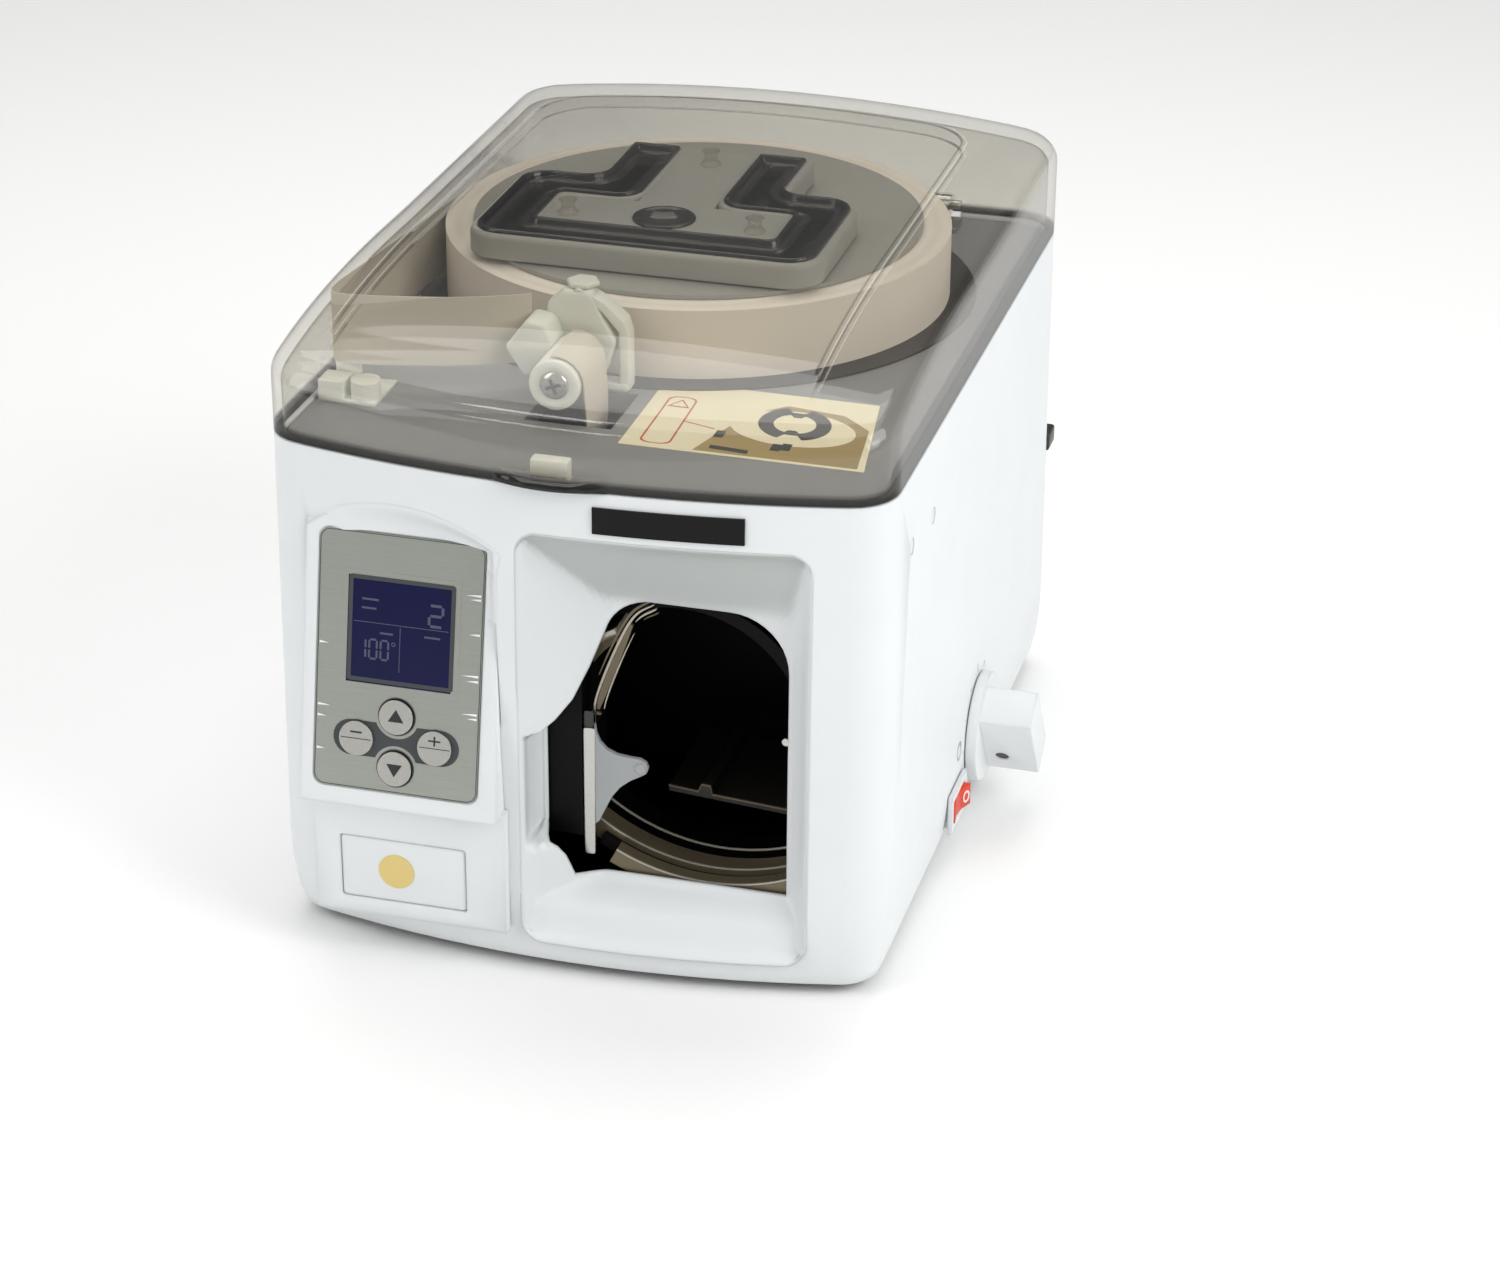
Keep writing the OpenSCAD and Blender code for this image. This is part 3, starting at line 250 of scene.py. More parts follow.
def lid_groove(where):
    """The step round the lid's raised top, on the plan: its height, its line of painted shade and its line
    of painted highlight.
    """
    x, y, _ = split(about(where, *TOP_AXIS))
    across = maths("MAXIMUM", maths("SUBTRACT", maths("ABSOLUTE", x), TOP_SIDE))
    along = maths("MAXIMUM", maths("SUBTRACT", y, TOP_BACK))
    corner = add(where, "ShaderNodeCombineXYZ", {"X": across, "Y": along}).outputs[0]
    length = add(where, "ShaderNodeVectorMath", {0: corner}, operation="LENGTH").outputs["Value"]
    values = [span(length, *STEP, 1.0, 0.0, smooth=True)]
    for low, high in (PAINTED_SHADE_LINE, PAINTED_HIGHLIGHT_LINE):
        off = maths("ABSOLUTE", maths("SUBTRACT", length, (low + high) / 2))
        off = maths("MINIMUM", maths("DIVIDE", off, (high - low) / 2), 1.0)
        values.append(maths("SUBTRACT", 1.0, off))
    fade = span(y, *TOP_FADE, smooth=True)
    return [maths("MULTIPLY", value, fade) for value in values]


def wound_paper():
    """Kraft-white paper tape wound on a roll: turns 0.1 mm thick, drawn 0.7 mm wide so that they show."""
    material, where = start("paper tape, wound")
    centred = about(where, *ROLL_AXIS)
    rings = {"Vector": centred, "Scale": per_mm(0.7) / 20, "Distortion": 0.6, "Detail": 2.0}
    turns = add(where, "ShaderNodeTexWave", rings, wave_type="RINGS", rings_direction="Z").outputs["Fac"]
    age = noise(where, 22, 3)
    tone = mix(ramp(turns, 0.0, 0.5), "EEE7DD", "DDD3C8")
    return coat(material, {
        "Base Color": mix(ramp(age, 0.0, 0.45), tone, "E4D8CC"),
        "Roughness": ramp(age, 0.72, 0.9),
        "Normal": relief(turns, 0.08, 0.6),
    })


def flat_paper(name, light, dark, fibre=0.6):
    """Uncoated paper or card: matt, with faint fibres."""
    material, where = start(name)
    fibres = noise(where, fibre, 5, (1, 1, 0.3), 0.7)
    return coat(material, {
        "Base Color": mix(ramp(noise(where, 12, 3), 0.0, 0.6), light, dark),
        "Roughness": ramp(fibres, 0.75, 0.92),
        "Normal": relief(fibres, 0.03, 0.5),
    })


def display_glass():
    """A blue backlit liquid crystal under a gloss window: it glows a little, unevenly."""
    material, where = start("liquid crystal display, blue")
    glow = noise(where, 18, 2)
    dots = add(where, "ShaderNodeTexVoronoi", {"Vector": where, "Scale": per_mm(0.5)}).outputs["Distance"]
    return coat(material, {
        "Base Color": mix(ramp(glow, 0.1, 0.9), "080A3A", "050522"),
        "Emission Color": colour("101470"),
        "Emission Strength": 0.1,
        "Roughness": ramp(glow, 0.1, 0.2),
        "Specular IOR Level": 0.25,
        "Normal": relief(dots, 0.01, 0.3),
    })


FINISH = {
    # white ABS, spark-eroded mould: matt, with a 0.5 mm grain and mould-rounded edges
    "shell": moulded("white moulded plastic", "E6E9EA", "DADEE0", 0.42, 0.5, 0.03, 1.2),
    # the same white plastic for the window's dish, with painted shade on its faces that look down
    "shell_bowl": moulded(
        "white moulded plastic, bowl", "E6E9EA", "DADEE0", 0.42, 0.5, 0.03, 1.2, "B4B8B6"
    ),
    # mid grey ABS: the deck under the lid; light grey: the roll's holder
    "grey_plastic": moulded("grey moulded plastic", "868789", "7A7B7D", 0.4, 0.5, 0.03, 0.6),
    "holder_grey": moulded("light grey moulded plastic", "A5A49F", "97968F", 0.42, 0.5, 0.02, 0.4),
    # charcoal glass-filled nylon: base, inlet and the works in the bay
    "dark_plastic": moulded("charcoal filled nylon", "2C2926", "1C1A19", 0.38, 0.4, 0.05, 0.5),
    # moulded rubber: feet and feed rollers
    "rubber_black": moulded("black rubber", "232323", "161616", 0.75, 0.4, 0.05, 0.4),
    # piano-black trim
    "black_gloss": moulded("black gloss plastic", "0C0C0C", "050505", 0.09, 0.6, 0.003, 0.3, IOR=1.6),
    # natural nylon: milky, light goes in a little way
    "nylon": moulded(
        "natural nylon", "E9EAE2", "DADBD1", 0.34, 0.5, 0.02, 0.6,
        **{"Subsurface Weight": 0.35, "Subsurface Scale": 0.003, "Subsurface Radius": (1.0, 0.95, 0.85)},
    ),
    "paper": wound_paper(),
    # painted shade: the threaded tape is the same paper as the roll, coloured darker because it lies in
    # shade
    "strip": flat_paper("paper tape, single", "CFC8BA", "C0B7A8"),
    "card": flat_paper("grey board core", "B39A7D", "97805F", 0.9),
    "steel": metal("brushed stainless steel", "B9B8B5", "8B8A88", 0.28, (1, 1, 0.05)),
    "plated": metal("nickel plated steel", "D2D1CE", "B4B2AE", 0.16, (1, 0.3, 1), 0.8, 0.004),
    "overlay": metal("brushed aluminium film", "B3B6AE", "9DA098", 0.36, (0.04, 1, 1), 0.35, 0.006, 0.2),
    "key_metal": metal("satin silver key", "C9C8C3", "AAA9A4", 0.3, (1, 1, 1), 0.6, 0.004, 0.3),
    "lcd": display_glass(),
    "board": moulded("green solder mask", "1E5A33", "123F22", 0.3, 1.2, 0.03, 0.2),
    "gold": moulded("pale gold foil", "E6D08C", "CDB26A", 0.3, 0.6, 0.02, 0.2, Metallic=0.55),
    "motor": moulded("black painted steel", "2A2B2D", "1B1C1D", 0.35, 0.8, 0.02, 0.5),
    "rocker_red": moulded("red gloss plastic", "E2380F", "D02F0C", 0.3, 0.6, 0.005, 0.5, specular=0.25),
    "smoky": smoky_acrylic(),
    "bay_black": moulded("black bay moulding", "0B0A09", "060606", 0.5, 0.5, 0.02, 0.4, specular=0.12),
    "bronze": moulded("bronzed track liner", "7E735C", "544A39", 0.3, 1.2, 0.02, 0.3, Metallic=0.35),
    # chrome colour for the bay's guide rings and edge strips, also used for painted highlights in the dark
    # bay
    "worn_chrome": moulded("worn chrome guide", "CFCABD", "8C8475", 0.22, 1.0, 0.02, 0.2, Metallic=0.3),
    "label_black": moulded("bare black label film", "0B0B0B", "070707", 0.3, 0.5, 0.005, specular=0.2),
    "print_dark": moulded("dark grey print", "3E4244", "34383A", 0.45, 0.4, 0.005),
    "print_line": moulded("black print", "22262A", "191C1F", 0.4, 0.4, 0.005),
    "print_red": moulded("red print", "C0503E", "A8402F", 0.5, 0.4, 0.005),
    "print_tan": moulded("tan print", "A8925C", "8A7648", 0.5, 1.5, 0.005),
    "label": flat_paper("cream label film", "E7DFC2", "D8CDAE", 0.5),
    "segment": moulded("crystal segments", "4C5166", "40455C", 0.3, 0.4, 0.005),
    # painted highlights: near-white marks where the clear protective film is creased
    "film": moulded("protective film, creased", "F7F8F8", "E9EBEB", 0.12, 0.6, 0.01),
    "grey_clear": moulded(
        "frosted grey nylon", "A9ADAE", "95999A", 0.35, 0.5, 0.02, 0.5,
        **{"Subsurface Weight": 0.25, "Subsurface Scale": 0.002, "Subsurface Radius": (1.0, 1.0, 1.0)},
    ),
    "print_white": moulded("white print", "F2F2F0", "E4E4E2", 0.45, 0.4, 0.005),
}

NODE_FINISH = {
    "shell": "housing rear_cover panel_bezel window_frame hatch_cover rocker_body adjust_knob",
    "dark_plastic": "base_plate power_inlet",
    "bay_black": "loop_track bundle_chamber seal_head",
    "rubber_black": "feet drive_roller pinch_roller",
    "plated": "base_screws hinge_pins hinge_brackets spindle roller_screw cam_shaft knob_shaft",
    "holder_grey": "roll_holder turntable reel_flange",
    "grey_plastic": "deck",
    "smoky": "lid",
    "nylon": "lid_catch guide_post guide_post_base guide_bracket guide_block guide_roller side_screws",
    "black_gloss": "holder_channel holder_dome knob_screw",
    "label_black": "label_plate",
    "card": "tape_core",
    "paper": "tape_roll",
    "strip": "threaded_tape",
    "overlay": "control_overlay",
    "lcd": "display",
    "key_metal": "key_top key_bottom key_left key_right",
    "board": "control_board",
    "gold": "hatch_disc",
    "steel": "stop_plate tape_finger clamp_bar heater_bar chassis feed_bracket",
    "motor": "feed_motor cam_motor",
    "rocker_red": "power_rocker",
}
for finish, names in NODE_FINISH.items():
    for node_name in names.split():
        data = frame["nodes"][node_name].data
        data.materials.clear()
        data.materials.append(FINISH[finish])

BODY = {n: b for b, members in frame["record"]["behaviour"]["bodies"].items() for n in members}

# ---------------- making pieces


def finish_mesh(mesh, angle=35.0):
    """Smooth shading that keeps edges sharper than the angle."""
    mesh.shade_smooth()
    mesh.set_sharp_from_angle(angle=radians(angle))


def piece(name, points, faces, finish, body="body", angle=35.0, merge=1e-7):
    """A named piece from points in the machine's millimetres; faces are made to point outwards."""
    mesh = bpy.data.meshes.new(name)
    mesh.from_pydata([place(*p) for p in points], [], faces)
    edit = bmesh.new()
    edit.from_mesh(mesh)
    bmesh.ops.remove_doubles(edit, verts=edit.verts, dist=merge)
    bmesh.ops.recalc_face_normals(edit, faces=edit.faces)
    edit.to_mesh(mesh)
    edit.free()
    finish_mesh(mesh, angle)
    made = shown(name, mesh)
    made.data.materials.append(FINISH[finish])
    if body:
        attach(made, body)
    return made


def settle(made, body, angle):
    """Turns an object with modifiers into a plain, smooth-shaded mesh, which then rides on its body."""
    bpy.context.view_layer.update()
    graph = bpy.context.evaluated_depsgraph_get()
    mesh = bpy.data.meshes.new_from_object(made.evaluated_get(graph))
    made.modifiers.clear()
    made.data = mesh
    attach(made, body)
    finish_mesh(mesh, angle)


def carve(made, body, finish, angle, *cutters):
    """Cuts solids, each given by its rings, out of a piece, which then rides on its body."""
    tools = [solid("cutter", rings, finish, None) for rings in cutters]
    for tool in tools:
        cut = made.modifiers.new("cut", "BOOLEAN")
        cut.object = tool
        cut.operation, cut.solver = "DIFFERENCE", "EXACT"
    settle(made, body, angle)
    for tool in tools:
        bpy.data.objects.remove(tool)


def copied(node_name, flatten):
    """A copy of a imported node, its doubled points merged and, if asked, its flat faces joined."""
    mesh = frame["nodes"][node_name].data.copy()
    edit = bmesh.new()
    edit.from_mesh(mesh)
    bmesh.ops.remove_doubles(edit, verts=edit.verts, dist=1e-6)
    if flatten:
        bmesh.ops.dissolve_limit(edit, angle_limit=radians(1.5), verts=edit.verts, edges=edit.edges)
    edit.to_mesh(mesh)
    edit.free()
    return shown(node_name + "_moulded", mesh)


def rounded_copy(node_name, width, segments):
    """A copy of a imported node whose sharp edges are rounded, as a mould leaves them."""
    made = copied(node_name, True)
    bevel = made.modifiers.new("edges", "BEVEL")
    bevel.width = width / 1000
    bevel.segments = segments
    bevel.limit_method = "ANGLE"
    bevel.angle_limit = radians(28)
    bevel.harden_normals = False
    settle(made, BODY[node_name], 40)
    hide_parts(node_name)


def arc(cx, cy, r, a0, a1, n):
    """Points of an arc, angles in degrees."""
    turn = [radians(a0 + (a1 - a0) * i / n) for i in range(n + 1)]
    return [(cx + r * cos(a), cy + r * sin(a)) for a in turn]


def circle(cx, cy, r, n):
    """Points of a closed circle."""
    return arc(cx, cy, r, 0, 360 - 360 / n, n - 1)


def sector(r0, r1, a0, a1, centre=TRACK_AXIS):
    """Outline of part of a ring."""
    return arc(*centre, r1, a0, a1, 40) + arc(*centre, r0, a1, a0, 40)


def rounded_rect(x0, x1, y0, y1, r, n=6):
    """Outline of a rectangle with round corners."""
    return (
        arc(x1 - r, y0 + r, r, -90, 0, n)
        + arc(x1 - r, y1 - r, r, 0, 90, n)
        + arc(x0 + r, y1 - r, r, 90, 180, n)
        + arc(x0 + r, y0 + r, r, 180, 270, n)
    )


def bar(x0, x1, y0, y1):
    """Outline of a plain rectangle."""
    return [(x0, y0), (x1, y0), (x1, y1), (x0, y1)]


def spoke(centre, angle, r0, r1, w):
    """Outline of a bar of half width w that points away from a centre."""
    c, s = cos(radians(angle)), sin(radians(angle))
    return [(centre[0] + c * r - s * v, centre[1] + s * r + c * v) for r, v in bar(r0, r1, -w, w)]


def smoothed(corners):
    """Rounds each corner of a closed outline; a corner is x, y and radius."""
    out = []
    for i, (x, y, r) in enumerate(corners):
        a, c = Vector(corners[i - 1][:2]), Vector(corners[(i + 1) % len(corners)][:2])
        b = Vector((x, y))
        if r <= 0:
            out.append((x, y))
            continue
        u, v = (a - b).normalized(), (c - b).normalized()
        half = acos(max(-1, min(1, u.dot(v)))) / 2
        middle = b + (u + v).normalized() * r / sin(half)
        p0, p1 = b + u * r / tan(half) - middle, b + v * r / tan(half) - middle
        a0, a1 = atan2(p0.y, p0.x), atan2(p1.y, p1.x)
        turn = (a1 - a0 + pi) % (2 * pi) - pi
        angles = [a0 + turn * k / 10 for k in range(11)]
        out += [(middle.x + r * cos(a), middle.y + r * sin(a)) for a in angles]
    return out


def joined(low, high):
    """Faces between two closed rings of point numbers."""
    count = len(low)
    return [(low[i], low[(i + 1) % count], high[(i + 1) % count], high[i]) for i in range(count)]


def tube_between(rings, capped=True):
    """Points and faces that join rings of equal length, with a cap at each end."""
    count = len(rings[0])
    numbers = [range(k * count, (k + 1) * count) for k in range(len(rings))]
    faces = [face for low, high in zip(numbers, numbers[1:]) for face in joined(low, high)]
    faces += [tuple(numbers[0]), tuple(numbers[-1])] if capped else joined(numbers[-1], numbers[0])
    return [p for ring in rings for p in ring], faces


def ring_solid(rings):
    """Points and faces of a closed band: each ring joins the next, and the last joins the first."""
    return tube_between(rings, False)


def levels(outline, *heights):
    """The same outline at several heights."""
    return [[(x, y, z) for x, y in outline] for z in heights]


def solid(name, rings, finish, body="body", angle=35.0, merge=1e-7):
    """A piece that joins rings of equal length and is closed at both ends."""
    return piece(name, *tube_between(rings), finish, body, angle, merge)


def prism(name, outline, y0, y1, finish, angle=35.0):
    """A plate that stands across the view: an outline in x and z between two depths."""
    return solid(name, [[(x, y, z) for x, z in outline] for y in (y0, y1)], finish, "body", angle)


def turned(profile, centre, n, axis):
    """Rings of a turned solid: a profile of radii and heights, swept round an axis."""
    order = {"x": (2, 0, 1), "y": (0, 2, 1), "z": (0, 1, 2)}[axis]
    rings = [[(a, b, height) for a, b in circle(*centre, r, n)] for r, height in profile]
    return [[tuple(p[k] for k in order) for p in ring] for ring in rings]


def soft_prism(name, outline, y0, y1, finish, soft=0.8):
    """A moulded block that stands across the view, its front and back edges rounded over."""
    cx, cz = (sum(p[k] for p in outline) / len(outline) for k in (0, 1))
    steps = [(1.0, 0.0), (0.35, 0.25), (0.0, 1.0)]
    rings = []
    for side, (shrink, into) in [(y0, s) for s in steps] + [(y1, (a, -b)) for a, b in reversed(steps)]:
        ring = []
        for x, z in outline:
            k = 1 - soft * shrink / max(hypot(x - cx, z - cz), 0.1)
            ring.append((cx + (x - cx) * k, side + soft * into, cz + (z - cz) * k))
        rings.append(ring)
    return solid(name, rings, finish, "body", 50)


# ---------------- smoky lid

WIDTH, DEPTH, LID_LINE, BOW, CORNER = 170.0, 222.0, 144.0, 12.0, 14.0
DRAFT, LID_WALL, LID_FOOT = 1.0, 2.5, 144.4
BOW_R = (WIDTH**2 / 4 + BOW**2) / (2 * BOW)
NOSE_TOP, NOSE_LENGTH = LID_LINE + 13.0, 110.0
SHOULDER, CROWN = LID_LINE + 28.0, LID_LINE + 34.0


def plan_shape(inset):
    """Half width, corner radius, bow radius, and the y of the bow's and corner's centres, at this inset."""
    half = WIDTH / 2 - inset
    r = max(CORNER - inset, 1)
    big = BOW_R - inset
    bow_y = BOW_R - BOW
    corner_y = bow_y - sqrt((big - r) ** 2 - (half - r) ** 2)
    return half, r, big, bow_y, corner_y


def plan_ends(x, inset):
    """Front and back of the plan at a place across it."""
    half, r, big, bow_y, corner_y = plan_shape(inset)
    back = DEPTH - inset
    over = abs(x) - (half - r)
    turn = asin((half - r) / (big - r))
    joint = (half - r) + r * sin(turn)
    if abs(x) < joint:
        front = bow_y - sqrt(big**2 - x**2)
    else:
        front = corner_y - sqrt(max(r**2 - over**2, 0))
    if over > 0:
        back = back - r + sqrt(max(r**2 - over**2, 0))
    return front, back


def plan_depth(x, y, inset):
    """How far a point lies inside the plan."""
    half, r, big, bow_y, corner_y = plan_shape(inset)
    dx, dy = abs(x) - (half - r), y - corner_y
    turn = asin((half - r) / (big - r))
    if dx > 0 and dy < 0 and dx > -dy * tan(turn):
        return r - hypot(dx, dy)
    back_y = DEPTH - inset - r
    if dx > 0 and y > back_y:
        return r - hypot(dx, y - back_y)
    return min(half - abs(x), big - hypot(x, y - bow_y), DEPTH - inset - y)


def lid_height(x, y, inset, round_r):
    """Height of the lid's skin: a crown across, a nose that curves up from the front, round shoulders."""
    front = -BOW + inset
    back = max(0.0, min(1.0, 1 - (y - front) / NOSE_LENGTH))
    side = NOSE_TOP - (inset - DRAFT) * 0.4 + (CROWN - NOSE_TOP) * sqrt(max(0.0, 1 - back**2))
    across = (CROWN - SHOULDER) * (x / (WIDTH / 2 - inset)) ** 2
    depth = max(0.0, plan_depth(x, y, inset))
    drop = 0.0
    if depth < round_r:
        drop = round_r - sqrt(round_r**2 - (round_r - depth) ** 2)
    return side - across * (0.35 + 0.65 * (1 - back)) - drop - (inset - DRAFT)


# Where the skin's grid has its lines: in from each side, back from the front, and forward from
# the back, as lengths on a lid 232 mm deep. They stand closer where the edges round over.
IN_FROM_SIDE = (0, 0.25, 0.7, 1.4, 2.4, 3.6, 5.2, 7.5, 10.5, 15, 22, 31, 41, 52, 63, 74)
FROM_FRONT = (
    0, 0.2, 0.6, 1.3, 2.2, 3.4, 5, 7, 9.5, 13, 17, 22, 28,
    35, 43, 52, 62, 73, 85, 98, 112, 130, 150, 170, 188,
)
FROM_BACK = (14, 9, 6, 4, 2.4, 1.2, 0.5, 0.0)
GRID_DEPTH = 232


def lid_skin(inset, round_r):
    """A grid of points over the lid's top, each column running from front to back."""
    across = [WIDTH / 2 - inset - s for s in IN_FROM_SIDE] + [0.0]
    grid = []
    for x in [-x for x in across[:-1]] + across[::-1]:
        front, back = plan_ends(x, inset)
        length = back - front
        ys = [front + r * length / GRID_DEPTH for r in FROM_FRONT]
        ys += [back - t * length / GRID_DEPTH for t in FROM_BACK]
        grid.append([(x, y, lid_height(x, y, inset, round_r)) for y in ys])
    return grid


def build_lid():
    """The lid as a closed shell: outer skin, inner skin and the rim that joins them."""
    points, faces, rims = [], [], []
    for inset, round_r in ((DRAFT, 6.0), (DRAFT + LID_WALL, 3.8)):
        grid = lid_skin(inset, round_r)
        base = len(points)
        cols, rows = len(grid), len(grid[0])
        points += [p for column in grid for p in column]
        for i in range(cols - 1):
            for j in range(rows - 1):
                a = base + i * rows + j
                faces.append((a, a + rows, a + rows + 1, a + 1))
        edge = (
            [base + i * rows for i in range(cols)]
            + [base + (cols - 1) * rows + j for j in range(1, rows)]
            + [base + i * rows + rows - 1 for i in range(cols - 2, -1, -1)]
            + [base + j for j in range(rows - 2, 0, -1)]
        )
        low = list(range(len(points), len(points) + len(edge)))
        points += [(points[k][0], points[k][1], LID_FOOT) for k in edge]
        faces += joined(edge, low)
        rims.append(low)
    faces += joined(*rims)
    made = piece("lid_shell", points, faces, "smoky", None, 50, 1e-6)
    # room for the two hinge brackets in the back wall
    notches = [levels(bar(x - 3.0, x + 3.0, 214.5, 228), 140, 149.2) for x in (-48, 48)]
    carve(made, "lid", "smoky", 50, *notches)
    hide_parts("lid")


def build_lid_tab():
    """The finger tab at the middle of the lid's front edge."""
    z0, z1 = LID_FOOT - 0.1, LID_FOOT + 3.4
    rings = []
    for i in range(25):
        t = -1 + 2 * i / 24
        x = -2 + 15.5 * t
        y0 = BOW_R - BOW - sqrt((BOW_R - DRAFT) ** 2 - x * x)
        back, tip = y0 + 0.4, y0 + 0.1 - 4.2 * (1 - t * t) ** 0.7
        reach = back - tip
        rings.append([
            (x, back, z0), (x, back - 0.6 * reach, z0), (x, back - 0.92 * reach, z0 + 0.5),
            (x, tip, z0 + 1.3), (x, back - 0.92 * reach, z0 + 2.2), (x, back - 0.55 * reach, z1 - 0.5),
            (x, back, z1),
        ])
    made = solid("lid_finger_tab", rings, "smoky", "lid", 40, 1e-5)


build_lid()
build_lid_tab()

# ---------------- housing and working bay

HOUSING_FOOT = 8.0
WINDOW = (
    [(58, 28)]
    + arc(42, 93.5, 16, 0, 90, 10)
    + arc(21, 96.5, 13, 90, 158, 8)
    + [(4.5, 89.5), (0.5, 80.5), (-3.5, 75.2), (-8, 71), (-8, 41), (-3.6, 37), (-1.6, 34), (0.5, 28)]
)
BAY = (25.0, 66.0)  # x and z of a point inside the opening, from which both its outlines are traced
BORDER = (-11.3, 64.8, 11.7, 130.3)  # left, right, low and top edge of the dish
BAY_FACE, LIP = 2.0, 2.6


def face_y(x, z=HOUSING_FOOT):
    """Depth of the bowed front, which leans back with height."""
    lean = DRAFT * max(0.0, (z - HOUSING_FOOT) / (LID_LINE - HOUSING_FOOT))
    return BOW_R - BOW - sqrt((BOW_R - lean) ** 2 - x * x)


def ray_hit(outline, centre, angle):
    """Distance from a centre to a closed outline along an angle."""
    dx, dz = cos(angle), sin(angle)
    best = 0.0
    for i, (x0, z0) in enumerate(outline):
        x1, z1 = outline[(i + 1) % len(outline)]
        ex, ez = x1 - x0, z1 - z0
        det = dx * ez - dz * ex
        if abs(det) < 1e-9:
            continue
        px, pz = x0 - centre[0], z0 - centre[1]
        along = (px * ez - pz * ex) / det
        part = (px * dz - pz * dx) / det
        if along > 0 and -1e-9 <= part <= 1 + 1e-9:
            best = max(best, along)
    return best


def rise(value, start_at, length):
    """How far a value has come along a slope, from 0 to 1."""
    return min(1.0, max(0.0, (value - start_at) / length))


def ease(t):
    """A smooth step from 0 to 1."""
    t = rise(t, 0, 1)
    return t * t * (3 - 2 * t)


def sink(x, z):
    """How far the dish lies behind the bowed face: four sloping sides that meet in soft creases."""
    total = BAY_FACE - face_y(x, z)
    inwards = (x - BORDER[0], BORDER[1] - x, z - BORDER[2], BORDER[3] - z)
    lips = [LIP * (1 - exp(-((max(o, 0) / 1.6) ** 1.6))) for o in inwards]
    deep = total - LIP
    beside = ease((z - 38.5) / 3) * (1 - ease((z - 70.2) / 1.6))
    steep = beside * ease((inwards[0] - 0.6) / 2.0) * 0.93
    left = lips[0] + deep * (steep + (1 - beside) * rise(inwards[0], 2, 18))
    right = lips[1] + deep * rise(inwards[1], 1.5, 5.3)
    top = lips[3] + deep * rise(inwards[3], 2, 18.8)
    low = lips[2] + 0.9 * rise(inwards[2], 3, 6) + (deep - 0.9) * rise(inwards[2], 9.3, 6.6) ** 1.25
    return min(total, -log(sum(exp(-2.2 * d) for d in (left, right, top, low))) / 2.2 + 0.02)


def build_window_frame():
    """The moulded dish round the opening, its rolled inner lip and its back."""
    border = rounded_rect(*BORDER, 6, 8)
    angles = {atan2(z - BAY[1], x - BAY[0]) for x, z in WINDOW + border}
    angles |= {radians(a) for a in range(-180, 180, 2)}
    angles |= {radians(a / 2) for a in range(326, 361)}
    angles = sorted(a for a in angles if a <= pi)
    angles = [a for k, a in enumerate(angles) if k == 0 or a - angles[k - 1] > 1e-4]
    near = (0.0, 0.3, 0.7, 1.2, 1.8, 2.5, 3.3)
    steps = [("near", k) for k in range(len(near))] + [("far", k / 12) for k in range(1, 13)]
    rays = [(a, ray_hit(border, BAY, a), ray_hit(WINDOW, BAY, a)) for a in angles]

    def spot(a, r, lower=0.0, rim=None):
        x, z = BAY[0] + r * cos(a), BAY[1] + r * sin(a)
        return (x, face_y(x, z) + (sink(x, z) if rim is None else rim) + lower, z)

    def reach(r0, r1, step):
        length = r0 - r1
        start_at = min(near[-1], length * 0.45)
        if step[0] == "near":
            return r0 - near[step[1]] * start_at / near[-1]
        return r0 - start_at - (length - start_at) * step[1]

    rim = ((0.9, 0.25), (0.85, -0.04), (0.4, -0.05))
    rings = [[spot(a, r0 + out, 0, depth) for a, r0, _ in rays] for out, depth in rim]
    rings += [[spot(a, reach(r0, r1, step)) for a, r0, r1 in rays] for step in steps]
    rings += [[spot(a, r1 - 0.12, lower) for a, _, r1 in rays] for lower in (0.25, 1.0)]
    back = reversed(steps[1:])
    rings += [[spot(a, reach(r0, r1, step) + 0.02, 1.1) for a, r0, r1 in rays] for step in back]
    made = piece("window_dish", *ring_solid(rings), "shell_bowl", "body", 34)
    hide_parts("window_frame")


def build_track():
    """Bright guide rings, the dark liner and the stepped bands of the tape track."""
    for i, (r0, r1, a0, a1, y0, y1, finish) in enumerate((
        (33.0, 34.2, 116, 172, 4.2, 5.4, "worn_chrome"),
        (31.2, 32.6, 120, 160, 9.0, 20.0, "worn_chrome"),
        (28.2, 30.4, 126, 158, 14.0, 26.0, "bronze"),
    )):
        prism(f"bay_ring_{i}", sector(r0, r1, a0, a1), y0, y1, finish)
    made = prism("track_liner", sector(34.3, 38, -28, 208), 14, 30, "bay_black")
    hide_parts("loop_track")
    for i, (r0, r1, y0, y1, finish) in enumerate((
        (56.4, 60.5, 3.1, 8.2, "bronze"),
        (56.0, 56.5, 3.1, 3.7, "worn_chrome"),
        (57.2, 60.5, 8.2, 10.0, "bay_black"),
        (55.6, 60.5, 10.0, 17.0, "bronze"),
        (55.2, 55.7, 10.0, 10.6, "worn_chrome"),
        (56.6, 60.5, 17.0, 19.0, "bay_black"),
        (54.4, 60.5, 19.0, 28.0, "black_gloss"),
        (54.0, 54.5, 19.0, 19.6, "worn_chrome"),
    )):
        begin = 243 if y1 < 9 else 238 if y0 < 9 else 228
        prism(f"track_band_{i}", sector(r0, r1, begin, 306, (36.0, 84.0)), y0, y1, finish)


